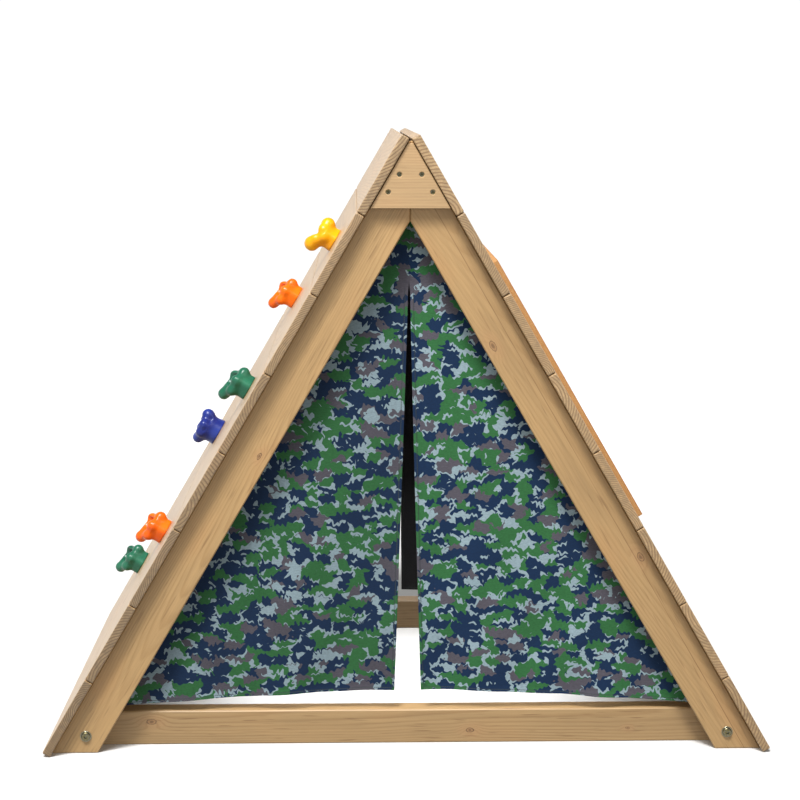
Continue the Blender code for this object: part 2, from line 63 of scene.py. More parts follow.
PLANKS_PER_SIDE = 8
PLANK_WIDTH = 0.1545
TOP_PLANK_WIDTH = 0.147
PLANK_GAP = 0.0015
PLANK_THICKNESS = 0.015
RIDGE_GAP = 0.004
RIDGE_HEIGHT = (TOP_PLANK_WIDTH + (PLANKS_PER_SIDE - 1) * (PLANK_WIDTH + PLANK_GAP)) * SIN
PLANK_SCREW_SPREAD = 0.048

LEG_WIDTH = 0.070
LEG_FRONT, LEG_CENTRE = 0.3875, 0.3685
BOLT_PLACE = (0.566, 0.0315)
BOLT_LENGTH = 0.0873
GUSSET_FACE = LEG_FRONT + FIT_GAP + 0.015
GUSSET_SCREWS = ((0.0185, 1.011), (0.037, 0.982))

BOARD_MIDDLE = 0.253 + 0.519 / 2
BOARD_SCREW_REACH = (0.2375, 0.3155)
BOARD_THICKNESS = 0.010
BOARD_FACE = PLANK_THICKNESS + FIT_GAP + BOARD_THICKNESS

CLOTH_PLANE = 0.348
BAND_OUTER = 0.0453
BAND_INNER = 0.0743
BAND_BOTTOM = 0.068
BAND_TOP = 0.975
SLIT_TOP = 0.820
SLIT_HALF_TOP = 0.0015
SLIT_HALF_HEM = {FRONT: 0.0243, REAR: 0.009}
SLIT_CURVE = 1.12
HEM_CENTRE = {FRONT: 0.100, REAR: 0.077}

HOLD_NEAR_Y = -0.1725
HOLD_FAR_Y = 0.0975

CROSSBAR_Y, CROSSBAR_Z = 0.3312, 0.031
GUSSET_Y, GUSSET_Z = 0.395, 1.0


def corner_name(end, side):
    return f"{END_NAMES[end]}_{SIDE_NAMES[side]}"


def wall_x(height, inset):
    """How far from the middle a line lies that runs parallel to a wall, this far inside its inner face."""
    return RIDGE_GAP / 2 + (RIDGE_HEIGHT - height) / TAN - inset / SIN


def down_slope(side):
    return Vector((side * COS, 0, -SIN))


def out_of_wall(side):
    return Vector((side * SIN, 0, COS))


def wall_point(side, down, y, out):
    """The place this far down a wall's slope, at y, and this far out of its inner face."""
    top = Vector((side * RIDGE_GAP / 2, y, RIDGE_HEIGHT))
    return top + down * down_slope(side) + out * out_of_wall(side)


def axes_matrix(x_axis, z_axis, place):
    """The transform that puts a piece's X and Z along these directions, and its origin at place."""
    x_axis, z_axis = Vector(x_axis), Vector(z_axis)
    y_axis = z_axis.cross(x_axis)
    matrix = Matrix((x_axis, y_axis, z_axis)).transposed().to_4x4()
    matrix.translation = place
    return matrix


def on_wall(side, down, y, out, facing=1):
    """The transform that stands a piece on a wall. Its Z points outwards, or into the tent for -1."""
    return axes_matrix(down_slope(side), facing * out_of_wall(side), wall_point(side, down, y, out))


def turned(angle):
    return Matrix.Rotation(angle, 4, "Z")


def configure(target, **settings):
    for key, value in settings.items():
        setattr(target, key, value)


def plank_middle(number):
    if number == 1:
        return TOP_PLANK_WIDTH / 2
    return TOP_PLANK_WIDTH + PLANK_GAP + (number - 2) * (PLANK_WIDTH + PLANK_GAP) + PLANK_WIDTH / 2


# Node trees


def srgb(red, green, blue):
    """A colour written as 0 to 255 on a screen, as the linear colour that a shader takes."""
    def linear(value):
        value /= 255
        return value / 12.92 if value <= 0.04045 else ((value + 0.055) / 1.055) ** 2.4
    return (linear(red), linear(green), linear(blue), 1.0)


class Graph:
    """A node tree, and short calls for the nodes in it.

    What goes into a socket is a number, a colour or another node's socket.
    """

    def __init__(self, owner):
        """owner is a world, or the name of a new material."""
        if isinstance(owner, str):
            owner = bpy.data.materials.new(owner)
        owner.use_nodes = True
        self.owner, self.tree = owner, owner.node_tree
        self.tree.nodes.clear()

    def fill(self, socket, value):
        if isinstance(value, bpy.types.NodeSocket):
            self.tree.links.new(value, socket)
        else:
            socket.default_value = value

    def node(self, kind, sockets=None, **settings):
        node = self.tree.nodes.new("ShaderNode" + kind)
        configure(node, **settings)
        for key, value in (sockets or {}).items():
            self.fill(node.inputs[key], value)
        return node

    def math(self, operation, *values):
        return self.node("Math", dict(enumerate(values)), operation=operation).outputs[0]

    def add(self, *values):
        total = values[0]
        for value in values[1:]:
            total = self.math("ADD", total, value)
        return total

    def times(self, a, b):
        return self.math("MULTIPLY", a, b)

    def centred(self, value, size):
        """A noise value of 0 to 1, moved to lie around 0 and scaled."""
        return self.math("MULTIPLY_ADD", value, size, -0.5 * size)

    def vector(self, operation, *values):
        node = self.node("VectorMath", dict(enumerate(values)), operation=operation)
        return node.outputs["Value" if operation in ("DOT_PRODUCT", "LENGTH") else "Vector"]

    def dot(self, vector, axis):
        return self.vector("DOT_PRODUCT", vector, tuple(axis))

    def combine(self, x, y, z):
        return self.node("CombineXYZ", {0: x, 1: y, 2: z}).outputs[0]

    def split(self, vector):
        return self.node("SeparateXYZ", {0: vector}).outputs[:]

    def noise(self, vector, scale, detail=2.0, roughness=0.5, output="Fac"):
        inputs = {"Vector": vector, "Scale": scale, "Detail": detail, "Roughness": roughness}
        return self.node("TexNoise", inputs).outputs[output]

    def step(self, value, low, high, low_out=0.0, high_out=1.0):
        """A soft step: low_out below low, high_out above high."""
        inputs = {0: value, 1: low, 2: high, 3: low_out, 4: high_out}
        return self.node("MapRange", inputs, interpolation_type="SMOOTHSTEP").outputs[0]

    def line(self, value, middle, half, fade):
        """1 where a value lies within half of the middle, and 0 from fade onwards."""
        return self.step(self.math("ABSOLUTE", self.add(value, -middle)), half, fade, 1.0, 0.0)

    def ramp(self, value, *stops):
        node = self.node("ValToRGB", {0: value})
        elements = node.color_ramp.elements
        for element, (position, colour) in zip(elements, (stops[0], stops[-1])):
            element.position, element.color = position, colour
        for position, colour in stops[1:-1]:
            elements.new(position).color = colour
        return node.outputs[0]

    def mix(self, factor, a, b, blend="MIX"):
        node = self.node("Mix", data_type="RGBA", blend_type=blend, clamp_factor=True)
        for number, value in ((0, factor), (6, a), (7, b)):
            self.fill(node.inputs[number], value)
        return node.outputs[2]

    def shaded(self, colour, shade):
        return self.mix(1.0, colour, self.combine(shade, shade, shade), "MULTIPLY")

    def tint(self, colour, brightness, saturation=1.0):
        inputs = {"Color": colour, "Value": brightness, "Saturation": saturation}
        return self.node("HueSaturation", inputs).outputs[0]

    def bump(self, height, distance, strength=0.5):
        inputs = {"Height": height, "Distance": distance, "Strength": strength}
        return self.node("Bump", inputs).outputs[0]

    def place(self):
        return self.node("TexCoord").outputs["Object"]

    def facing(self):
        return self.node("TexCoord").outputs["Normal"]

    def output(self, kind, shader):
        self.tree.links.new(shader.outputs[0], self.node(kind).inputs["Surface"])
        return self.owner

    def finish(self, colour, roughness, normal=None, **shader):
        """Ends a material in one shader. The words of a socket's name are joined by underscores."""
        inputs = {"Base Color": colour, "Roughness": roughness}
        if normal is not None:
            inputs["Normal"] = normal
        inputs.update({key.replace("_", " "): value for key, value in shader.items()})
        return self.output("OutputMaterial", self.node("BsdfPrincipled", inputs))


# Pine

PLAIN_WOOD = srgb(174, 143, 103)
EARLYWOOD = srgb(183, 153, 112)
LATEWOOD = srgb(142, 110, 74)
STREAK = srgb(176, 130, 90)
WEATHERED = srgb(150, 128, 98)
END_RING = srgb(114, 82, 50)
KNOT = srgb(104, 74, 48)
KNOT_RING = srgb(158, 120, 80)
BARK = srgb(78, 54, 36)


def dress(node, material):
    """Gives a CAD node its finished material."""
    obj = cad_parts[node]
    obj.data.materials.clear()
    obj.data.materials.append(material)


def dress_pine(node, origin, along, across, pith, spacing, figure, tone, shift, dashes, end_tone=1.0,
               saturation=1.0, grey=0.0, knots=(), seam=None, oil=0.0):
    """Makes a CAD node solid pine: growth rings around a pith that runs roughly along the piece.

    along and across are the piece's grain direction and its width. pith is where the centre of the log
    lies, as (across, deep) in metres. figure is how strongly the rings show on the faces, dashes how strong
    the short dark resin streaks are, and oil how much finish lies on top. Each knot is (along, across,
    radius), and seam is where across the piece a glued seam runs along it, with painted shade between it
    and the edge under the overhanging planks. shift makes pieces differ.
    """
    g = Graph(f"pine_{node}")
    along, across = Vector(along), Vector(across)
    from_origin = g.vector("SUBTRACT", g.place(), tuple(origin))
    a, b, c = (g.dot(from_origin, axis) for axis in (along, across, along.cross(across)))
    seed = 7.31 * shift

    def grain(lengthways, crossways, detail, roughness=0.5, output="Fac"):
        """Noise drawn out along the grain, with about so many features in a metre along and across."""
        place = g.combine(g.times(a, lengthways), g.add(g.times(b, crossways), seed), g.times(c, crossways))
        return g.noise(place, 1.0, detail, roughness, output)

    # The log isn't straight: its centre wanders along the board, and each knot pushes the rings aside.
    sway_b, sway_c, _ = g.split(grain(1.7, 2.5, 1.0, output="Color"))
    ring_b = g.add(b, -pith[0], g.centred(sway_b, 0.034), g.times(a, 0.012 * math.sin(9 * shift)))
    ring_c = g.add(c, -pith[1], g.centred(sway_c, 0.026), g.times(a, 0.035 * math.cos(5 * shift)))
    radius = g.vector("LENGTH", g.combine(ring_b, ring_c, 0.0))
    knot_mask = knot_rim = halo = 0.0
    knot_depth = 1.0
    ragged = g.centred(g.noise(from_origin, 160, 3.0), 0.004)
    for knot_a, knot_b, knot_radius in knots:
        offset = g.combine(g.times(g.add(a, -knot_a), 0.55), g.add(b, -knot_b), 0.0)
        away = g.add(g.vector("LENGTH", offset), ragged)
        far = g.math("POWER", g.math("DIVIDE", away, 2.3 * knot_radius), 2.0)
        reach = g.math("EXPONENT", g.times(far, -1))
        radius = g.add(radius, g.times(reach, 1.5 * knot_radius))
        knot_mask = g.add(knot_mask, g.step(away, 0.80 * knot_radius, knot_radius, 1.0, 0.0))
        knot_rim = g.add(knot_rim, g.line(away, 0.9 * knot_radius, 0.0, 0.2 * knot_radius))
        halo = g.add(halo, g.times(reach, 0.5))
        knot_depth = g.math("MINIMUM", knot_depth, g.math("DIVIDE", away, knot_radius))

    wobble = grain(9, 70, 2.0)
    rings = g.math("FRACT", g.add(g.math("DIVIDE", radius, spacing), g.centred(wobble, 0.55)))
    ring_colour = g.ramp(
        rings, (0.0, EARLYWOOD), (0.45, EARLYWOOD), (0.80, LATEWOOD), (0.90, LATEWOOD), (1.0, EARLYWOOD))

    # Rings stand out by different amounts from place to place, and more on the ends than on the faces.
    end = g.step(g.math("ABSOLUTE", g.dot(g.facing(), along)), 0.6, 0.85)
    strength = grain(3, 12, 1.0)
    ring_share = g.add(g.step(strength, 0.3, 0.7, 0.4 * figure, figure), g.times(end, 0.55))
    colour = g.mix(ring_share, PLAIN_WOOD, ring_colour)

    # Fibres, short pores and slow changes of colour
    fibre, streak, cloud = grain(26, 900, 3.0, 0.6), grain(4, 130, 2.0), grain(4.5, 14, 2.0)
    speck = g.noise(from_origin, 700, 2.0, 0.7)
    blotch = g.noise(from_origin, 110, 2.0, 0.6)
    rough_end = g.times(end, g.add(g.centred(speck, 0.95), g.centred(blotch, 1.1), -0.04))
    shade = g.add(g.centred(fibre, 0.34), g.centred(streak, 0.36), g.centred(cloud, 0.34), rough_end, 1.0)
    colour = g.shaded(colour, shade)
    colour = g.mix(g.step(cloud, 0.52, 0.75, 0.0, 0.25), colour, STREAK)
    colour = g.mix(grey, colour, WEATHERED)
    dark_ring = g.times(end, g.step(rings, 0.45, 0.85))
    colour = g.mix(g.times(dark_ring, g.add(blotch, 0.05)), colour, END_RING)
    colour = g.mix(g.step(grain(16, 280, 1.0), 0.62, 0.76, 0.0, dashes), colour, KNOT)
    if seam is not None:
        wavy = g.centred(g.noise(g.combine(g.times(a, 5), seed, 0), 1.0, 2.0), 0.004)
        beside = g.add(b, -seam, wavy)
        # Between the seam and the wall the piece is painted a little darker: painted shade of the
        # overhanging planks.
        colour = g.mix(g.step(beside, -0.0008, 0.0002, 0.16, 0.0), colour, LATEWOOD)
        glue = g.times(g.line(beside, 0.0, 0.0003, 0.0011), g.step(cloud, 0.25, 0.6, 0.25, 0.6))
        colour = g.mix(glue, colour, KNOT)
    colour = g.tint(colour, g.add(g.times(end, tone * (end_tone - 1)), tone), saturation)
    if knots:
        heart = g.step(g.add(knot_depth, g.centred(speck, 0.3)), 0.25, 0.70)
        colour = g.mix(g.math("MINIMUM", halo, 0.22), colour, STREAK)
        colour = g.mix(g.times(knot_mask, 0.78), colour, g.mix(heart, KNOT, KNOT_RING))
        colour = g.mix(g.math("MINIMUM", g.times(knot_rim, g.add(cloud, 0.3)), 0.85), colour, BARK)

    height = g.add(g.times(fibre, 0.35), g.times(streak, 0.25), g.times(rings, 0.25),
                   g.times(g.times(end, speck), 0.8))
    roughness = g.add(g.centred(fibre, 0.20), g.times(end, 0.15), 0.48)
    dress(node, g.finish(colour, roughness, g.bump(height, 0.0005), Specular_IOR_Level=0.5,
                         Coat_Weight=oil, Coat_Roughness=0.45))


def dress_planks():
    draws = random.Random(41)
    for side in (LEFT, RIGHT):
        for number in range(1, PLANKS_PER_SIDE + 1):
            turn = math.radians(draws.uniform(20, 70)) * draws.choice((-1, 1))
            distance = draws.uniform(0.030, 0.110)
            pith = (distance * math.sin(turn), draws.choice((-1, 1)) * distance * math.cos(turn))
            knots = [
                (draws.uniform(-0.36, 0.36), draws.uniform(-0.055, 0.055), draws.uniform(0.0035, 0.009))
                for _ in range(draws.choice((0, 1, 1, 2)))
            ]
            dress_pine(
                f"{SIDE_NAMES[side]}_plank_{number}",
                wall_point(side, plank_middle(number), 0, PLANK_THICKNESS / 2),
                (0, 1, 0), down_slope(side), pith,
                spacing=draws.uniform(0.0030, 0.0060), tone=draws.uniform(0.88, 1.07),
                end_tone=0.78 - 0.035 * number if side == LEFT else 0.92, saturation=1.05,
                grey=draws.uniform(0.05, 0.30), figure=draws.uniform(0.25, 0.6), dashes=0.15, knots=knots,
                shift=draws.uniform(0, 9), oil=0.8)


LEG_KNOTS = {
    (FRONT, RIGHT): ((0.1413, 0.7226, 0.0055), (0.4027, 0.3523, 0.0050)),
    (FRONT, LEFT): ((-0.2560, 0.5330, 0.0035),),
    (REAR, LEFT): ((-0.3480, 0.4020, 0.0060),),
    (REAR, RIGHT): ((0.2330, 0.5900, 0.0050),),
}
BAR_KNOTS = {
    FRONT: ((-0.4554, 0.042, 0.0052), (0.1122, 0.0228, 0.0042), (0.3955, 0.0249, 0.0024)),
    REAR: ((-0.2100, 0.035, 0.0060), (0.3000, 0.020, 0.0050)),
}


def dress_frame():
    draws = random.Random(8)
    for end in (FRONT, REAR):
        for side in (LEFT, RIGHT):
            middle = wall_point(side, 0.6, end * LEG_CENTRE, -FIT_GAP - LEG_WIDTH / 2)
            along, across = down_slope(side), -out_of_wall(side)
            knots = []
            for x, z, radius in LEG_KNOTS[end, side]:
                offset = Vector((x, end * LEG_CENTRE, z)) - middle
                knots.append((offset.dot(along), offset.dot(across), radius))
            pith = (draws.uniform(0.02, 0.06) * draws.choice((-1, 1)), draws.uniform(0.05, 0.09))
            dress_pine(f"{corner_name(end, side)}_leg", middle, along, across, pith, spacing=0.0030,
                       figure=0.32, tone=draws.uniform(0.97, 1.02), saturation=1.08, dashes=0.35,
                       knots=knots, seam=-0.011 if (end, side) == (FRONT, RIGHT) else None,
                       shift=draws.uniform(0, 9))
        middle = Vector((0, end * CROSSBAR_Y, CROSSBAR_Z))
        knots = [(x, z - middle.z, radius) for x, z, radius in BAR_KNOTS[end]]
        # The rear crossbar is painted much darker than the front one (tone 0.60): painted shade, for the
        # shade inside the tent.
        dress_pine(f"{END_NAMES[end]}_crossbar", middle, (1, 0, 0), (0, 0, 1), (0.03, -0.06), spacing=0.0028,
                   tone=0.94 if end == FRONT else 0.60, saturation=1.08, grey=0.25, figure=0.60, dashes=0.50,
                   knots=knots, shift=draws.uniform(0, 9))
        dress_pine(f"{END_NAMES[end]}_gusset", (0, end * GUSSET_Y, GUSSET_Z), (1, 0, 0), (0, 0, 1),
                   (-0.09, 0.05), spacing=0.0042, figure=0.28, tone=1.02, dashes=0.10,
                   shift=draws.uniform(0, 9))


# Plastic, metal and chalkboard


def plastic(name, colour, deep_colour):
    """Glossy moulded plastic with a faint orange-peel skin, flow marks and a few scuffs."""
    g = Graph(name)
    place = g.place()
    flow = g.noise(place, 22, 2.0, 0.5)
    skin = g.noise(place, 520, 2.0, 0.5)
    scuff = g.step(g.noise(g.vector("MULTIPLY", place, (1.0, 1.0, 3.5)), 210, 4.0, 0.7), 0.62, 0.74)
    body = g.mix(g.step(flow, 0.35, 0.70), deep_colour, colour)
    body = g.mix(g.times(scuff, 0.10), body, srgb(235, 235, 230))
    roughness = g.add(g.centred(flow, 0.14), g.times(scuff, 0.18), 0.32)
    normal = g.bump(g.add(g.times(skin, 0.6), g.times(flow, 0.4)), 0.00035, 0.45)
    return g.finish(body, roughness, normal, Subsurface_Weight=0.05, Subsurface_Scale=0.004,
                    Subsurface_Radius=(1.0, 0.6, 0.4), Specular_IOR_Level=0.33, Coat_Weight=0.06,
                    Coat_Roughness=0.15)


def zinc(name, warmth, tone=1.0):
    """Zinc plate with a yellow passivated tint that varies in patches, fine brushing and dulled spots."""
    g = Graph(name)
    place = g.place()
    patch = g.noise(place, 260, 2.0, 0.6)
    grain = g.noise(place, 2400, 3.0, 0.6)
    cold, warm = srgb(136, 135, 120), srgb(128, 113, 48)
    colour = g.mix(g.step(patch, 0.25, 0.85, 0.0, 2 * warmth), cold, warm)
    colour = g.mix(g.times(g.step(grain, 0.55, 0.75), 0.25), colour, srgb(100, 94, 78))
    colour = g.tint(colour, tone)
    roughness = g.add(g.centred(patch, 0.24), g.centred(grain, 0.12), 0.34)
    return g.finish(colour, roughness, g.bump(grain, 0.00008), Metallic=1.0)


ERASER_ARCS = (((1.3, -0.35), 3.0), ((-1.1, 0.50), 11.0))


def chalkboard():
    """A black chalk face with wiped dust, on a fibreboard core with sealed orange-brown edges."""
    g = Graph("chalkboard_panel")
    place = g.vector("SUBTRACT", g.place(), tuple(wall_point(RIGHT, BOARD_MIDDLE, 0, BOARD_FACE)))
    out = out_of_wall(RIGHT)
    a, b, c = g.dot(place, down_slope(RIGHT)), g.split(place)[1], g.dot(place, out)
    flat = g.combine(a, b, 0.0)
    face = g.step(g.math("ABSOLUTE", g.dot(g.facing(), out)), 0.75, 0.95)

    # The eraser went across in long arcs, one over another, and left thin streaks and soft clouds of chalk.
    haze = 0.0
    for centre, seed in ERASER_ARCS:
        from_centre = g.vector("SUBTRACT", flat, (*centre, 0.0))
        arc = g.vector("LENGTH", from_centre)
        way = g.math("ARCTAN2", g.split(from_centre)[1], g.split(from_centre)[0])
        streaks = g.noise(g.combine(g.times(arc, 130), g.times(way, 5), seed), 1.0, 3.0, 0.7)
        pressed = g.noise(g.combine(g.times(arc, 9), g.times(way, 6), seed), 1.0)
        haze = g.add(haze, g.times(g.step(streaks, 0.42, 0.80), g.step(pressed, 0.45, 0.70, 0.04, 0.24)))
    cloudy = g.noise(flat, 6, 3.0, 0.6)
    dust = g.noise(flat, 650, 3.0, 0.7)
    haze = g.times(g.add(haze, g.step(cloudy, 0.38, 0.75, 0.0, 0.09)), g.step(dust, 0.25, 0.75, 0.5, 1.0))
    slate = g.mix(haze, srgb(33, 35, 36), srgb(168, 170, 168))

    # The core shows at the edges, darker and more orange where the sealer soaked in along each face.
    fleck = g.noise(place, 900, 3.0, 0.75)
    layer = g.noise(g.combine(g.times(a, 60), g.times(b, 60), g.times(c, 900)), 1.0)
    core = g.mix(g.step(fleck, 0.3, 0.7), srgb(162, 114, 66), srgb(196, 150, 95))
    core = g.mix(g.step(layer, 0.45, 0.75, 0.0, 0.4), core, srgb(146, 92, 48))
    rim = g.step(g.math("ABSOLUTE", g.add(c, BOARD_THICKNESS / 2)), 0.0030, 0.0046)
    core = g.mix(g.times(rim, 0.6), core, srgb(158, 88, 36))

    roughness = g.add(g.times(face, g.centred(cloudy, 0.2)), g.centred(fleck, 0.1), 0.74)
    height = g.add(g.times(dust, 0.5), g.times(fleck, 0.5))
    return g.finish(g.mix(face, core, slate), roughness, g.bump(height, 0.0003, 0.4),
                    Specular_IOR_Level=0.35)


# Cloth


THREAD_PITCH = 0.0008
STITCH_LINE, STITCH_LENGTH = 0.0052, 0.0016
HEM_GROOVE = 0.0060

LIGHT_GREY = srgb(130, 149, 156)
GREEN = srgb(41, 93, 51)
NAVY = srgb(4, 33, 63)
TAUPE = srgb(75, 72, 80)
# The left halves' print is painted darker and the right halves' lighter: painted shade and painted light.
PRINT_SIDE_PAINTED_LIGHT = {LEFT: 0.90, RIGHT: 1.12}


class Cotton(Graph):
    """Plain-woven cotton with a sewn hem.

    Its meshes have two maps: flat is where a point lies on the cut sheet, and edge holds the distance to
    the nearest free edge and the way along it.
    """

    def __init__(self, name):
        super().__init__(name)
        self.flat = self.node("UVMap", uv_map="flat").outputs[0]
        u, v, _ = self.split(self.flat)
        over_u, over_v = (self.math("SINE", self.times(way, math.pi / THREAD_PITCH)) for way in (u, v))
        self.threads = self.math("MULTIPLY_ADD", self.times(over_u, over_v), 0.5, 0.5)
        self.slub = self.stretched(3.0, 420, 0.6)
        distance, run, _ = self.split(self.node("UVMap", uv_map="edge").outputs[0])
        dash = self.step(self.math("PINGPONG", run, STITCH_LENGTH), 0.0004, 0.0007)
        self.thread = self.times(self.line(distance, STITCH_LINE, 0.0003, 0.0007), dash)
        self.groove = self.line(distance, HEM_GROOVE, 0.0002, 0.0014)

    def stretched(self, down, scale, roughness, across=1.0):
        return self.noise(self.vector("MULTIPLY", self.flat, (across, down, 1)), scale, 2.0, roughness)

    def finish_cloth(self, colour, roughness, **shader):
        height = self.add(self.times(self.threads, 0.4), self.times(self.slub, 0.4),
                          self.times(self.thread, 1.2), self.times(self.groove, -0.8))
        return self.finish(colour, self.add(self.centred(self.slub, 0.12), roughness),
                           self.bump(height, 0.0004), Sheen_Roughness=0.5, **shader)


def camouflage(name, tone):
    """The printed side: lobed patches in three inks, with the pale ground between some of them."""
    g = Cotton(name)

    def drift(scale, u_size, v_size):
        moved = g.noise(g.vector("MULTIPLY", g.flat, (0.9, 1.0, 1.0)), scale, 0.0, output="Color")
        return g.vector("MULTIPLY", g.vector("SUBTRACT", moved, (0.5, 0.5, 0.5)), (u_size, v_size, 0))

    # Every edge is lobed: it waves sideways to itself, with a phase that wanders from place to place.
    u, v, _ = g.split(g.flat)
    wander_u, wander_v, _ = g.split(g.noise(g.flat, 34, 0.0, output="Color"))
    wave_u = g.math("SINE", g.add(g.times(v, 2 * math.pi / 0.0105), g.times(wander_u, 13)))
    wave_v = g.math("SINE", g.add(g.times(u, 2 * math.pi / 0.0100), g.times(wander_v, 13)))
    waves = g.combine(g.times(wave_u, 0.0017), g.times(wave_v, 0.0020), 0.0)
    drifts = g.vector("ADD", drift(60, 0.024, 0.018), drift(240, 0.0022, 0.0022))
    warped = g.vector("ADD", g.vector("ADD", g.flat, waves), drifts)

    def patchwork(offset, across, down, feature="F1", result="Color"):
        """A random patchwork with about so many patches in a metre across and down."""
        spread = g.vector("MULTIPLY_ADD", warped, (across, down, 1.0), offset)
        patch = g.node("TexVoronoi", {"Vector": spread, "Scale": 1.0, "Randomness": 0.9},
                       voronoi_dimensions="2D", feature=feature)
        return patch.outputs[result]

    # Each patch takes one ink. The ground shows along some of the joins, and a few patches lie on top.
    inked = (0.0, 0.0, 0.0), 38.0, 62.0
    ink = g.split(patchwork(*inked))[0]
    apart = g.step(g.noise(g.flat, 46, 1.0), 0.45, 0.62, -0.05, 0.15)
    colour = g.mix(g.math("GREATER_THAN", ink, 0.43), GREEN, NAVY)
    colour = g.mix(g.math("GREATER_THAN", ink, 0.88), colour, TAUPE)
    colour = g.mix(g.math("LESS_THAN", patchwork(*inked, "DISTANCE_TO_EDGE", "Distance"), apart), colour,
                   LIGHT_GREY)
    above = g.split(patchwork((13.3, 7.7, 0.0), 44.0, 76.0))[0]
    colour = g.mix(g.math("GREATER_THAN", above, 0.935), colour, TAUPE)
    colour = g.mix(g.math("LESS_THAN", above, 0.05), colour, LIGHT_GREY)

    speck = g.noise(g.flat, 780, 2.0, 0.6)
    yarn = g.stretched(1.0, 430, 0.7, across=0.45)
    wear = g.noise(g.flat, 9, 3.0, 0.6)
    shade = g.add(g.centred(g.threads, 0.16), g.centred(speck, 0.30), g.centred(yarn, 0.85),
                  g.centred(g.slub, 0.16), g.centred(wear, 0.16), 1.0)
    # The tone paints the whole half: painted shade on the left halves, painted light on the right halves.
    colour = g.tint(g.shaded(colour, shade), tone)
    # The hem's groove is painted darker: painted shade in the groove.
    colour = g.mix(g.times(g.groove, 0.35), colour, srgb(30, 36, 44))
    colour = g.mix(g.times(g.thread, 0.8), colour, srgb(58, 66, 60))
    return g.finish_cloth(colour, 0.82, Specular_IOR_Level=0.25, Sheen_Weight=0.08)


def black_reverse():
    """The unprinted side: black yarn with pale flecks where the print shows through the weave."""
    g = Cotton("black_reverse")
    fleck = g.add(g.times(g.noise(g.flat, 780, 2.0, 0.7), 0.7), g.times(g.threads, 0.3))
    colour = g.mix(g.step(fleck, 0.45, 0.75), srgb(20, 21, 24), srgb(62, 64, 68))
    colour = g.mix(g.times(g.thread, 0.7), colour, srgb(52, 58, 54))
    return g.finish_cloth(colour, 0.88, Specular_IOR_Level=0.2, Sheen_Weight=0.15)


# Meshes


def new_object(name, mesh):
    obj = bpy.data.objects.new(name, mesh)
    bpy.context.scene.collection.objects.link(obj)
    return obj


def mesh_from(name, vertices, faces):
    mesh = bpy.data.meshes.new(name)
    mesh.from_pydata([tuple(v) for v in vertices], [], [tuple(f) for f in faces])
    mesh.polygons.foreach_set("use_smooth", [True] * len(mesh.polygons))
    mesh.update()
    return mesh


def repeated(name, template, matrices, material):
    """One object that holds a copy of a mesh at each place."""
    bm = bmesh.new()
    for matrix in matrices:
        before = len(bm.verts)
        bm.from_mesh(template)
        bm.verts.ensure_lookup_table()
        bmesh.ops.transform(bm, matrix=matrix, verts=bm.verts[before:])
    mesh = bpy.data.meshes.new(name)
    bm.to_mesh(mesh)
    bm.free()
    mesh.materials.append(material)
    return new_object(name, mesh)


def ring_of(radius, height, segments):
    turns = [2 * math.pi * i / segments for i in range(segments)]
    return [(radius * math.cos(turn), radius * math.sin(turn), height) for turn in turns]


def cross_of(length, width, height):
    """The outline of a cross recess."""
    points = []
    for quarter in range(4):
        cos, sin = math.cos(quarter * math.pi / 2), math.sin(quarter * math.pi / 2)
        for x, y in (length, width), (width, width), (width, length):
            points.append((x * cos - y * sin, x * sin + y * cos, height))
    return points


def skin(bm, rings):
    """Faces between each ring of vertices and the next."""
    for lower, upper in zip(rings, rings[1:]):
        for i in range(len(lower)):
            j = (i + 1) % len(lower)
            bm.faces.new((lower[i], lower[j], upper[j], upper[i]))


def turned_mesh(name, bm):
    """A finished mesh that is smooth except at its sharp edges."""
    bmesh.ops.recalc_face_normals(bm, faces=bm.faces)
    mesh = bpy.data.meshes.new(name)
    bm.to_mesh(mesh)
    bm.free()
    mesh.polygons.foreach_set("use_smooth", [True] * len(mesh.polygons))
    mesh.set_sharp_from_angle(angle=math.radians(35))
    return mesh


def headed_mesh(name, rings, recess):
    """A screw or bolt: rings from its tip to the rim of its top face, which has a recess cut in it.

    recess is a list of outlines, from the mouth in the top face down to the recess's floor.
    """
    bm = bmesh.new()
    body, hole = ([[bm.verts.new(point) for point in ring] for ring in stack] for stack in (rings, recess))
    skin(bm, body)
    skin(bm, hole)
    bm.faces.new(body[0])
    bm.faces.new(hole[-1])
    rim = [bm.edges.get((ring[i - 1], ring[i])) for ring in (body[-1], hole[0]) for i in range(len(ring))]
    bmesh.ops.triangle_fill(bm, use_beauty=True, edges=rim, normal=(0, 0, 1))
    return turned_mesh(name, bm)


def screw_mesh(depth=0.0031, length=0.0):
    """A countersunk cross-recess screw, its head just under z = 0. length adds a shank below the head."""
    top = -0.0002
    profile = [(0.0014, -depth), (0.0041, top - 0.0005), (0.0043, top - 0.0002), (0.0041, top)]
    if length:
        profile[:1] = [(0.0006, -length), (0.0019, -length + 0.004), (0.0019, -depth - 0.001)]
    recess = [cross_of(0.0025, 0.00055, top), cross_of(0.0012, 0.0003, top - 0.0012),
              cross_of(0.0008, 0.0003, top - 0.0018)]
    return headed_mesh("countersunk_screw", [ring_of(*point, 24) for point in profile], recess)


def bolt_mesh():
    """A button-head bolt with a hexagon socket. The head rests on a washer."""
    base = 0.0016
    top = base + 0.0037
    profile = [(0.0032, -BOLT_LENGTH), (0.0040, -BOLT_LENGTH + 0.0008), (0.0040, base), (0.0082, base),
               (0.0083, base + 0.0008), (0.0079, base + 0.0019), (0.0068, base + 0.0029),
               (0.0054, base + 0.0035), (0.0042, top)]
    recess = [ring_of(0.0030, top, 6), ring_of(0.0029, top - 0.0002, 6), ring_of(0.0029, top - 0.0024, 6)]
    return headed_mesh("button_head_bolt", [ring_of(*point, 32) for point in profile], recess)


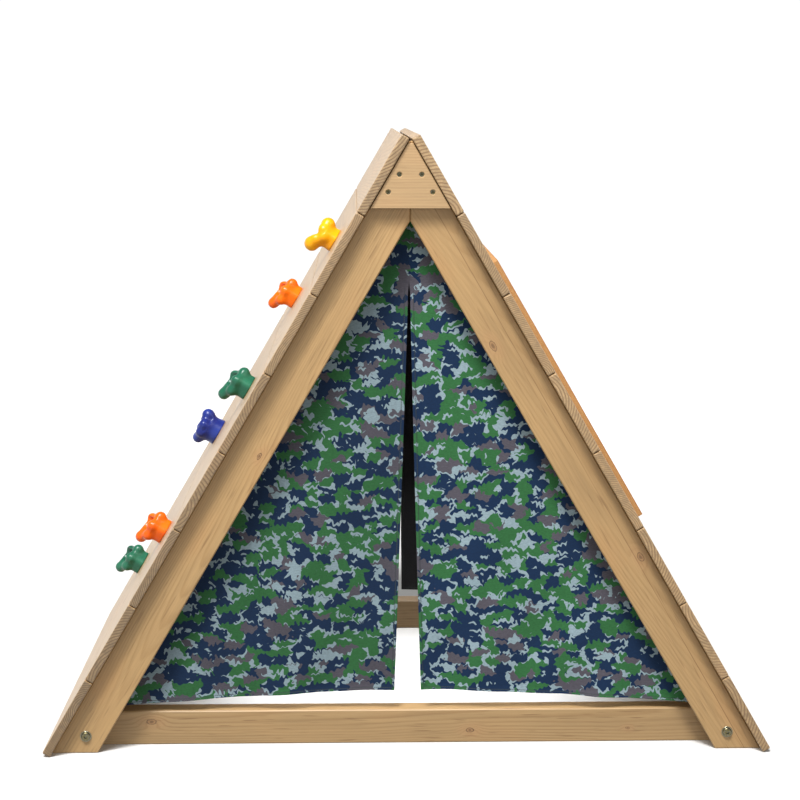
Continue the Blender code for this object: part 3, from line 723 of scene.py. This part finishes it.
def turned_ring_mesh(name, profile):
    """A closed ring turned around Z from a closed (radius, height) outline."""
    bm = bmesh.new()
    rings = [[bm.verts.new(point) for point in ring_of(*corner, 32)] for corner in profile]
    skin(bm, rings + rings[:1])
    return turned_mesh(name, bm)


# Climbing holds, worked out in millimetres around the bolt: down the slope, towards the front, and out


EDGE_BLEND, RIM_BLEND, POCKET_BLEND = 3.0, 4.0, 2.5
POCKET_RADIUS, POCKET_FLOOR, BOLT_BORE = 9.6, 19.7, 4.6
HOLD_FOOT = 0.3

# The pocket widens from this height up, and each knob's spoke starts at this share of its height.
FLARE_START, FLARE = 22, 0.28
SPOKE_RISE, SPOKE_RADIUS = 0.62, 9.0

HOLD_LOW, HOLD_HIGH, HOLD_STEP = (-46, -42, -2.1), (52, 42, 54), 1.5


def smooth_min(a, b, reach):
    share = np.clip(0.5 + 0.5 * (b - a) / reach, 0, 1)
    return b * (1 - share) + a * share - reach * share * (1 - share)


def capsule(points, start, end):
    """The distance to a rounded bar. start and end are (down, front, out, radius)."""
    start, end = np.array(start, float), np.array(end, float)
    axis = end[:3] - start[:3]
    share = np.clip((points - start[:3]) @ axis / max(axis @ axis, 1e-9), 0, 1)
    centre = start[:3] + share[:, None] * axis
    return np.linalg.norm(points - centre, axis=1) - (start[3] + share * (end[3] - start[3]))


def neck(points, sides, foot, top, height):
    """The distance to a tapering foot with this many flat sides, or a round one for 0."""
    share = np.clip(points[:, 2] / height, 0, 1)
    radius = foot + (top - foot) * share
    if not sides:
        across = np.linalg.norm(points[:, :2], axis=1) - radius
    else:
        # One edge points uphill, and the edges are rounded by the blend between the sides.
        angles = math.pi + (np.arange(sides) + 0.5) * 2 * math.pi / sides
        walls = points[:, 0:1] * np.cos(angles) + points[:, 1:2] * np.sin(angles)
        blended = EDGE_BLEND * np.log(np.exp(walls / EDGE_BLEND).sum(1))
        across = blended - radius * math.cos(math.pi / sides) - 1.0
    return np.maximum(across, points[:, 2] - height)


def hold_field(shape):
    """The distance to a hold: knobs on a ring-shaped rim, joined to the neck, with the bolt's pocket."""
    knobs, fillet = shape["knobs"], shape["fillet"]

    def rim_end(knob):
        return knob[:3] + (min(knob[3], shape["rim"]),)

    def field(points):
        rim = None
        for knob, following in zip(knobs, knobs[1:] + knobs[:1]):
            bar = capsule(points, rim_end(knob), rim_end(following))
            rim = bar if rim is None else smooth_min(rim, bar, RIM_BLEND)
        for knob in knobs:
            spoke = capsule(points, (0.0, 0.0, SPOKE_RISE * knob[2], SPOKE_RADIUS), knob)
            rim = smooth_min(rim, spoke, fillet)
        total = smooth_min(neck(points, *shape["neck"]), rim, fillet)
        away = np.linalg.norm(points[:, :2], axis=1)
        pocket = away - POCKET_RADIUS - FLARE * np.clip(points[:, 2] - FLARE_START, 0, None)
        pocket = np.maximum(pocket, POCKET_FLOOR - points[:, 2])
        total = np.maximum(-smooth_min(-total, pocket, POCKET_BLEND), BOLT_BORE - away)
        return np.maximum(total, HOLD_FOOT - points[:, 2])

    return field


def surface_net(field, low, high, step):
    """Vertices and quads of the closed surface where a field is zero. The field is negative inside."""
    counts = [int(math.ceil((b - a) / step)) + 1 for a, b in zip(low, high)]
    axes = [a + step * np.arange(n) for a, n in zip(low, counts)]
    grid = np.stack(np.meshgrid(*axes, indexing="ij"), -1)
    values = field(grid.reshape(-1, 3)).reshape(counts)
    cells = tuple(n - 1 for n in counts)
    total, hits = np.zeros(cells + (3,)), np.zeros(cells)
    crossings = []
    for axis in range(3):
        first = np.take(values, range(counts[axis] - 1), axis)
        second = np.take(values, range(1, counts[axis]), axis)
        crossing = (first < 0) != (second < 0)
        share = np.where(crossing, first / np.where(crossing, first - second, 1), 0)
        points = np.take(grid, range(counts[axis] - 1), axis).copy()
        points[..., axis] += share * step
        crossings.append((crossing, first < 0))
        u, v = [k for k in range(3) if k != axis]
        for du, dv in itertools.product((0, 1), repeat=2):
            window = [slice(None)] * 3
            window[u], window[v] = slice(du, du + cells[u]), slice(dv, dv + cells[v])
            window = tuple(window)
            total += np.where(crossing[window][..., None], points[window], 0)
            hits += crossing[window]
    active = hits > 0
    number = np.full(cells, -1)
    number[active] = np.arange(int(active.sum()))
    vertices = total[active] / hits[active][:, None]
    quads = []
    for axis, (crossing, outward) in enumerate(crossings):
        u, v = (axis + 1) % 3, (axis + 2) % 3
        where = np.argwhere(crossing)
        inside = (where[:, u] > 0) & (where[:, v] > 0) & (where[:, u] < cells[u]) & (where[:, v] < cells[v])
        where = where[inside]
        around = []
        for du, dv in ((1, 1), (0, 1), (0, 0), (1, 0)):
            cell = where.copy()
            cell[:, u] -= du
            cell[:, v] -= dv
            around.append(number[tuple(cell.T)])
        quad = np.stack(around, 1)
        flip = ~outward[tuple(where.T)]
        quad[flip] = quad[flip][:, ::-1]
        quads.append(quad)
    return vertices, np.concatenate(quads)


def relax_onto(field, vertices, quads, rounds):
    """Evens out a mesh and puts its vertices back on the surface where the field is zero."""
    reach, longest_move = 0.35, 0.8
    edges = np.concatenate([quads[:, [i, (i + 1) % 4]] for i in range(4)])
    for _ in range(rounds):
        total, count = np.zeros_like(vertices), np.zeros(len(vertices))
        np.add.at(total, edges[:, 0], vertices[edges[:, 1]])
        np.add.at(count, edges[:, 0], 1)
        vertices = 0.5 * vertices + 0.5 * total / count[:, None]
        for _ in range(2):
            value = field(vertices)
            slope = np.stack([
                (field(vertices + reach * axis) - field(vertices - reach * axis)) / (2 * reach)
                for axis in np.eye(3)
            ], 1)
            length = np.clip((slope ** 2).sum(1), 0.25, None)
            vertices = vertices - np.clip(value / length, -longest_move, longest_move)[:, None] * slope
    return vertices


STAR = {
    "knobs": [(-21, 0, 22, 9.0), (-4, 15, 28, 7.4), (17, 12, 26, 7.4), (31, -3, 35, 9.6),
              (-7, -14, 34, 7.2)],
    "neck": (5, 25.5, 24.0, 24.0), "rim": 7.4, "fillet": 6.0,
}
CLOVER = {
    "knobs": [(-20, 0, 25, 11.5), (-8, 9, 27, 9.0), (3, 13, 22, 8.0), (14, 9, 31, 9.5),
              (24, 3, 33.5, 12.8), (5, -14, 22, 8.5)],
    "neck": (5, 24.0, 21.5, 20.0), "rim": 9.0, "fillet": 7.0,
}
CUP = {
    "knobs": [(-21, 3, 35.5, 12.0), (-3, 19, 34, 7.8), (13, 17, 32, 7.6), (28, 2, 31, 9.2),
              (11, -17, 34, 8.0), (-9, -17, 35, 8.0)],
    "neck": (0, 26.5, 24.5, 22.0), "rim": 6.8, "fillet": 10.0,
}

# Each hold's plank, its place along the plank, its shape, its turn in degrees, and its plastic
HOLDS = (
    (2, HOLD_NEAR_Y, CLOVER, 0, "yellow"),
    (3, HOLD_FAR_Y, STAR, 0, "orange"),
    (4, HOLD_NEAR_Y, STAR, 3, "green"),
    (5, HOLD_FAR_Y, CUP, 0, "blue"),
    (6, HOLD_NEAR_Y, STAR, -3, "orange"),
    (7, HOLD_FAR_Y, STAR, -5, "green"),
)


PLASTICS = {
    "yellow": ((238, 172, 0), (226, 150, 0)),
    "orange": ((242, 113, 2), (230, 91, 0)),
    "green": ((42, 109, 82), (22, 87, 64)),
    "blue": ((38, 60, 146), (24, 38, 114)),
}


def build_holds():
    plastics = {
        name: plastic(f"{name}_plastic", srgb(*face), srgb(*deep)) for name, (face, deep) in PLASTICS.items()
    }
    meshes = {}
    for number, (plank, y, shape, turn, colour) in enumerate(HOLDS, start=1):
        if id(shape) not in meshes:
            field = hold_field(shape)
            vertices, quads = surface_net(field, HOLD_LOW, HOLD_HIGH, HOLD_STEP)
            meshes[id(shape)] = relax_onto(field, vertices, quads, 3) * 0.001, quads
        mesh = mesh_from(f"hold_{number}", *meshes[id(shape)])
        mesh.materials.append(plastics[colour])
        mesh.transform(on_wall(LEFT, plank_middle(plank), y, PLANK_THICKNESS) @ turned(math.radians(turn)))
        hold = new_object(f"climbing_hold_{number}_moulded", mesh)
        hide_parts(f"climbing_hold_{number}")
        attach(hold, "root")


# Fasteners


WASHER = [(0.0043, 0.0003), (0.0098, 0.0003), (0.0100, 0.0006), (0.0100, 0.0012), (0.0097, 0.0015),
          (0.0046, 0.0015), (0.0043, 0.0013)]
TEE_NUT = [(0.0044, 0.0003), (0.0103, 0.0003), (0.0106, 0.0007), (0.0103, 0.0013), (0.0066, 0.0015),
           (0.0060, 0.0026), (0.0054, 0.0030), (0.0044, 0.0028)]


# How deep the gusset screws' heads lie under the face
SCREW_RECESS = 0.0012


def fasten(name, template, places, metal, stands_for=None):
    """Adds a metal piece that holds a copy of the template at each place."""
    piece = repeated(name, template, places, metal)
    if stands_for:
        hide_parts(stands_for)
    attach(piece, "root")


def build_fasteners():
    # The bolts' zinc is painted darker (tone 0.72): painted reflection of darker surroundings, on top of the
    # yellow plate's own colour.
    metal = zinc("zinc_steel", warmth=0.5, tone=0.72)
    plain = zinc("bright_zinc", warmth=0.1)
    # The gusset screws' zinc is painted darker (tone 0.55): painted shade of the recesses they sit in.
    recess_shaded_zinc = zinc("dull_zinc", warmth=0.5, tone=0.55)
    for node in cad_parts:
        if node.endswith("_nut") or node.startswith("hold_bolt"):
            dress(node, metal)

    flush = screw_mesh()
    for side in (LEFT, RIGHT):
        places = []
        draws = random.Random(5 + side)
        for number in range(1, PLANKS_PER_SIDE + 1):
            for offset, end in itertools.product((-PLANK_SCREW_SPREAD, PLANK_SCREW_SPREAD), (FRONT, REAR)):
                matrix = on_wall(side, plank_middle(number) + offset, end * LEG_CENTRE, PLANK_THICKNESS)
                places.append(matrix @ turned(draws.uniform(0, 3)))
        fasten(f"{SIDE_NAMES[side]}_plank_screws", flush, places, plain)

    draws = random.Random(12)
    places = []
    for x, y in itertools.product((-1, 1), (-1, 0, 1)):
        down = BOARD_MIDDLE + x * BOARD_SCREW_REACH[0]
        matrix = on_wall(RIGHT, down, y * BOARD_SCREW_REACH[1], BOARD_FACE)
        places.append(matrix @ turned(draws.uniform(0, 3)))
    fasten("chalkboard_screws", screw_mesh(depth=0.0022), places, plain)

    long_screw, bolt = screw_mesh(length=0.038), bolt_mesh()
    washer = turned_ring_mesh("washer", WASHER)
    for end, side in CORNERS:
        corner = corner_name(end, side)
        outwards = (0, end, 0)
        for number, (x, z) in enumerate(GUSSET_SCREWS, start=1):
            place = (side * x, end * (GUSSET_FACE - SCREW_RECESS), z)
            matrix = axes_matrix((1, 0, 0), outwards, place) @ turned(draws.uniform(0, 3))
            node = f"{corner}_gusset_screw_{number}"
            fasten(f"{node}_recessed", long_screw, [matrix], recess_shaded_zinc, node)
        matrix = axes_matrix((1, 0, 0), outwards, (side * BOLT_PLACE[0], end * LEG_FRONT, BOLT_PLACE[1]))
        fasten(f"{corner}_frame_bolt_button_head", bolt, [matrix], metal, f"{corner}_frame_bolt")
        fasten(f"{corner}_frame_washer", washer, [matrix], plain)

    # The flange of each tee nut lies on the inside of its plank, around the end of the hold's bolt.
    places = [on_wall(LEFT, plank_middle(plank), y, 0, facing=-1) for plank, y, *_ in HOLDS]
    fasten("hold_tee_nuts", turned_ring_mesh("tee_nut", TEE_NUT), places, plain)


# Curtains

SIM_COLUMNS, SIM_ROWS = 34, 60
SIM_FRAMES = 30
CLOTH_SETTINGS = {
    "quality": 8, "mass": 0.08, "tension_stiffness": 60, "compression_stiffness": 60, "shear_stiffness": 25,
    "bending_stiffness": 1.5, "tension_damping": 12, "compression_damping": 12, "air_damping": 2.0,
    "vertex_group_mass": "held",
}
FOLD_PHASES = {(FRONT, LEFT): 0.4, (FRONT, RIGHT): 2.1, (REAR, LEFT): 3.7, (REAR, RIGHT): 5.2}
GRID_ROWS, GRID_COLUMNS = 118, 66
HEM_THICKNESS, HEM_SHARE = 0.002, 0.45
HEM_WIDTH, HEM_ZONE = 0.0062, 0.012
HEM_LINES = np.array([0.0, 0.0012, 0.0050, HEM_WIDTH])

# The hem rises outwards along a curve of this power, to this far above the fastened band's foot.
HEM_CURVE, HEM_LIFT = 1.4, 0.003

# The cloth doesn't move where it is fastened, this far beyond, or higher than this above the slit.
HELD_MARGIN, HELD_ABOVE_SLIT = 0.002, 0.012


def inner_x(z, end):
    """The half's inner edge: the middle above the slit, and the slit's bowed edge below its top."""
    share = np.clip((SLIT_TOP - z) / (SLIT_TOP - HEM_CENTRE[end]), 0, 1)
    opening = SLIT_HALF_TOP + (SLIT_HALF_HEM[end] - SLIT_HALF_TOP) * share ** SLIT_CURVE
    return np.where(share > 0, opening, 0.0)


def flat_half(columns, rows, end):
    """Where one half of a curtain lies before it hangs: x and z for shares across and down."""
    hem = HEM_CENTRE[end] + (BAND_BOTTOM + HEM_LIFT - HEM_CENTRE[end]) * columns ** HEM_CURVE
    z = BAND_TOP + (hem - BAND_TOP) * rows
    inner = inner_x(z, end)
    return inner + (wall_x(z, BAND_OUTER) - inner) * columns, z


def weigh(group, chosen, weight):
    group.add([int(i) for i in np.flatnonzero(chosen)], weight, "REPLACE")


def quad_grid(columns, rows):
    index = np.arange(columns * rows).reshape(rows, columns)
    return np.stack([index[:-1, :-1], index[1:, :-1], index[1:, 1:], index[:-1, 1:]], -1).reshape(-1, 4)


def fullness(x, z, side, end):
    """The soft folds that the cut cloth has: none where it is fastened, more towards the hem."""
    phase = FOLD_PHASES[end, side]
    fastened = wall_x(z, BAND_INNER)
    free = np.clip((fastened - x) / 0.14, 0, 1) ** 1.3 * np.clip((SLIT_TOP - z) / 0.55, 0, 1) ** 1.2
    lean = x + 0.22 * (z - 0.5)
    folds = (0.0042 * np.sin(2 * math.pi * lean / 0.190 + phase)
             + 0.0012 * np.sin(2 * math.pi * (lean + 0.35 * z) / 0.098 + 2.7 * phase)
             + 0.0012 * np.sin(2 * math.pi * (x - 0.6 * z) / 0.130 + 4.1 * phase))
    return folds * free


def hang(side, end):
    """Hangs one half of a curtain under gravity, and returns its points as an array of rows and columns."""
    columns, rows = np.meshgrid(np.linspace(0, 1, SIM_COLUMNS), np.linspace(0, 1, SIM_ROWS))
    x, z = flat_half(columns, rows, end)
    y = end * CLOTH_PLANE + fullness(x, z, side, end)
    points = np.stack([side * x, y, z], -1)
    mesh = mesh_from("hanging_cloth", points.reshape(-1, 3), quad_grid(SIM_COLUMNS, SIM_ROWS))
    obj = new_object("hanging_cloth", mesh)
    fastened = (wall_x(z, BAND_INNER) <= x + HELD_MARGIN) | (z > SLIT_TOP + HELD_ABOVE_SLIT)
    weigh(obj.vertex_groups.new(name="held"), fastened, 1.0)
    cloth = obj.modifiers.new("cloth", "CLOTH")
    configure(cloth.settings, **CLOTH_SETTINGS)
    cloth.collision_settings.use_collision = False
    for step in range(1, SIM_FRAMES + 1):
        bpy.context.scene.frame_set(step)
    hung = obj.evaluated_get(bpy.context.evaluated_depsgraph_get()).to_mesh()
    settled = np.zeros(len(hung.vertices) * 3, np.float32)
    hung.vertices.foreach_get("co", settled)
    bpy.data.objects.remove(obj)
    bpy.context.scene.frame_set(1)
    return settled.reshape(SIM_ROWS, SIM_COLUMNS, 3).astype(float)


def resample(points, columns, rows):
    """Reads a grid of points at shares across and down it, with a cubic that passes through every point."""
    def cubic(before, a, b, after, t):
        return 0.5 * (2 * a + (b - before) * t + (2 * before - 5 * a + 4 * b - after) * t ** 2
                      + (3 * a - before - 3 * b + after) * t ** 3)

    def position(shares, count):
        place = shares * (count - 1)
        whole = np.clip(np.floor(place).astype(int), 0, count - 2)
        return whole, (place - whole)[..., None]

    height, width = points.shape[:2]
    column, t = position(columns, width)
    row, s = position(rows, height)
    across = []
    for down in (-1, 0, 1, 2):
        line = np.clip(row + down, 0, height - 1)
        across.append(cubic(*(points[line, np.clip(column + k, 0, width - 1)] for k in (-1, 0, 1, 2)), t))
    return cubic(*across, s)


def curtain_grid(end):
    """Shares across and down for the finished half, with extra lines along the hems of slit and foot."""
    height = BAND_TOP - HEM_CENTRE[end]
    above_hem = np.linspace(0, 1 - HEM_ZONE / height, GRID_ROWS)
    down = np.concatenate([above_hem, 1 - HEM_LINES[::-1] / height])
    spread = np.linspace(0, 1, GRID_COLUMNS)[1:]
    rows = np.repeat(down[:, None], len(spread) + len(HEM_LINES), 1)
    columns = np.zeros_like(rows)
    for i, z in enumerate(BAND_TOP - height * down):
        width = wall_x(z, BAND_OUTER) - float(inner_x(z, end))
        lines = np.minimum(HEM_LINES / max(width, 0.02), 0.4 * HEM_LINES / HEM_WIDTH)
        columns[i] = np.concatenate([lines, lines[-1] + (1 - lines[-1]) * spread])
    return columns, rows


def thicken(curtain, hemmed):
    """Gives the sheet its thickness, which is full along the hems and less between them."""
    hem = curtain.vertex_groups.new(name="hem")
    weigh(hem, ~hemmed, HEM_SHARE)
    weigh(hem, hemmed, 1.0)
    configure(curtain.modifiers.new("thickness", "SOLIDIFY"), thickness=HEM_THICKNESS, offset=0,
              vertex_group="hem", material_offset=1, use_even_offset=True)
    bpy.context.view_layer.update()
    evaluated = curtain.evaluated_get(bpy.context.evaluated_depsgraph_get())
    finished = bpy.data.meshes.new_from_object(evaluated)
    curtain.modifiers.clear()
    curtain.data = finished
    finished.name = curtain.name


def build_curtain(side, end, materials):
    corner = corner_name(end, side)
    name = f"{corner}_curtain"
    columns, rows = curtain_grid(end)
    flat_x, flat_z = flat_half(columns, rows, end)
    points = resample(hang(side, end), columns, rows)
    quads = quad_grid(*columns.shape[::-1])
    if side * end > 0:
        quads = quads[:, ::-1]
    mesh = mesh_from(name, points.reshape(-1, 3), quads)

    # The flat map places the print, and the edge map the hems.
    flat = np.stack([end * side * flat_x + 1.7 * (end > 0), flat_z], -1).reshape(-1, 2)
    to_slit = np.where(flat_z < SLIT_TOP, flat_x - inner_x(flat_z, end), 1.0)
    to_foot = (1 - rows) * (BAND_TOP - HEM_CENTRE[end])
    along = np.where(to_slit < to_foot, flat_z, flat_x)
    edge = np.stack([np.minimum(to_slit, to_foot), along], -1).reshape(-1, 2)
    corners = np.zeros(len(mesh.loops), int)
    mesh.loops.foreach_get("vertex_index", corners)
    for layer, values in (("flat", flat), ("edge", edge)):
        mesh.uv_layers.new(name=layer).data.foreach_set("uv", values[corners].ravel())
    for material in materials:
        mesh.materials.append(material)

    curtain = new_object(name, mesh)
    thicken(curtain, edge[:, 0] < HEM_WIDTH - 0.0005)

    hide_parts(f"{corner}_flap", f"{END_NAMES[end]}_curtain_header")
    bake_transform(curtain)


STAPLE_SIDES = 8
STAPLES_PER_HALF, STAPLE_START, STAPLE_PITCH, STAPLE_DEPTH = 16, 0.165, 0.063, 0.058


def staple_mesh():
    """A staple driven into the leg: its crown, standing on two short legs."""
    wire, crown, rise, flatness = 0.0006, 0.0052, 0.0009, 0.55
    half = [(crown - 0.0005, rise), (crown, rise * 0.6), (crown, -0.0012)]
    path = [(-x, z) for x, z in reversed(half)] + half
    vertices, faces = [], []
    for i, (x, z) in enumerate(path):
        before, after = path[max(i - 1, 0)], path[min(i + 1, len(path) - 1)]
        direction = Vector((after[0] - before[0], 0, after[1] - before[1])).normalized()
        for px, py, _ in ring_of(wire, 0, STAPLE_SIDES):
            px *= flatness
            vertices.append((x - px * direction.z, py, z + px * direction.x))
    for i, k in itertools.product(range(len(path) - 1), range(STAPLE_SIDES)):
        first, second = STAPLE_SIDES * i + k, STAPLE_SIDES * i + (k + 1) % STAPLE_SIDES
        faces.append((first, second, second + STAPLE_SIDES, first + STAPLE_SIDES))
    faces += [range(STAPLE_SIDES - 1, -1, -1), range(len(vertices) - STAPLE_SIDES, len(vertices))]
    return mesh_from("staple", vertices, faces)


def build_staples(metal):
    template = staple_mesh()
    for end, side in CORNERS:
        draws = random.Random(20 + 3 * end + side)
        places = []
        for step in range(STAPLES_PER_HALF):
            down = STAPLE_START + STAPLE_PITCH * step + draws.uniform(-0.004, 0.004)
            point = wall_point(side, down, end * (CLOTH_PLANE - 0.0005), -STAPLE_DEPTH)
            matrix = axes_matrix(down_slope(side), (0, -end, 0), point)
            places.append(matrix @ turned(draws.uniform(-0.25, 0.25)))
        fasten(f"{corner_name(end, side)}_staples", template, places, metal)


def build_curtains():
    reverse = black_reverse()
    prints = {
        side: camouflage(f"camouflage_{SIDE_NAMES[side]}", tone) for side, tone in PRINT_SIDE_PAINTED_LIGHT.items()
    }
    for end, side in CORNERS:
        build_curtain(side, end, (prints[side], reverse))
    build_staples(zinc("staple_wire", warmth=0.05))


# Floor, lights and camera


FLOOR_REACH = 40
SKY_STRENGTH = 1.04

# Heights in the sky, from -1 straight down to 1 straight up, and how bright it is there
SKY = ((-0.30, 0.27), (-0.07, 1.0), (0.16, 1.0), (0.55, 0.25))


def build_stage():
    """A pale floor, a little paler away from the object, in a studio that is white around the horizon."""
    g = Graph("studio_floor")
    place = g.place()
    mottled = g.noise(place, 3.0, 3.0, 0.6)
    away = g.step(g.vector("LENGTH", place), 0.8, 4.5)
    colour = g.mix(away, srgb(216, 216, 215), srgb(252, 252, 251))
    colour = g.mix(g.times(mottled, 0.06), colour, srgb(190, 190, 190))
    material = g.finish(colour, g.add(g.centred(mottled, 0.1), 0.75), Specular_IOR_Level=0.1)
    corners = [(x * FLOOR_REACH, y * FLOOR_REACH, 0) for x, y in ((-1, -1), (1, -1), (1, 1), (-1, 1))]
    mesh = mesh_from("floor", corners, [(0, 1, 2, 3)])
    mesh.materials.append(material)
    floor = new_object("floor", mesh)
    floor.visible_diffuse = False

    g = Graph(bpy.data.worlds.new("studio"))
    height = g.split(g.node("TexCoord").outputs["Generated"])[2]
    stops = [((z + 1) / 2, (strength, strength, strength, 1.0)) for z, strength in SKY]
    sky = g.ramp(g.math("MULTIPLY_ADD", height, 0.5, 0.5), *stops)
    scene = bpy.context.scene
    scene.world = g.output("OutputWorld", g.node("Background", {"Color": sky, "Strength": SKY_STRENGTH}))
    scene.view_settings.view_transform = "Standard"


def add_softbox(name, place, target, size, power, spread=180, glossy=True):
    light = bpy.data.lights.new(name, "AREA")
    configure(light, shape="RECTANGLE", size=size[0], size_y=size[1], energy=power,
              spread=math.radians(spread))
    towards = (Vector(target) - Vector(place)).to_track_quat("-Z", "Y")
    configure(new_object(name, light), location=place, rotation_euler=towards.to_euler(),
              visible_camera=False, visible_glossy=glossy)


def build_lights():
    """A wide light from the front and above, a softbox nearer by, one behind the tent and one inside it."""
    wide = bpy.data.lights.new("wide_light", "SUN")
    configure(wide, energy=2.7, angle=math.radians(11))
    towards = Vector((0.192, 0.411, -0.891)).to_track_quat("-Z", "Y")
    new_object("wide_light", wide).rotation_euler = towards.to_euler()
    add_softbox("near_softbox", (-0.5, -1.55, 3.0), (0, -0.35, 0.7), (1.4, 1.0), 76)
    add_softbox("rear_softbox", (-0.3, 3.0, 1.3), (0, 0.3, 0.5), (1.6, 1.0), 26, glossy=False)
    add_softbox("inside_softbox", (0, 0, 0.40), (0, 0, 0), (0.7, 0.62), 2.8, spread=70)


CAMERA_PLACE = Vector((-0.0918, -3.1681, 1.1229))
CAMERA_YAW, CAMERA_PITCH, CAMERA_ROLL = math.radians(1.56), math.radians(-10.05), math.radians(0.18)
CAMERA_LENS = 74.7


def build_camera():
    camera = new_object("front_view", bpy.data.cameras.new("front_view"))
    configure(camera.data, lens=CAMERA_LENS, sensor_width=36.0, clip_end=100.0)
    camera.matrix_world = (
        Matrix.Translation(CAMERA_PLACE) @ Matrix.Rotation(-CAMERA_YAW, 4, "Z")
        @ Matrix.Rotation(math.pi / 2 + CAMERA_PITCH, 4, "X") @ Matrix.Rotation(CAMERA_ROLL, 4, "Z"))
    bpy.context.scene.camera = camera


build_camera()
build_stage()
build_lights()
dress_planks()
dress_frame()
dress("chalkboard", chalkboard())
build_holds()
build_fasteners()
build_curtains()
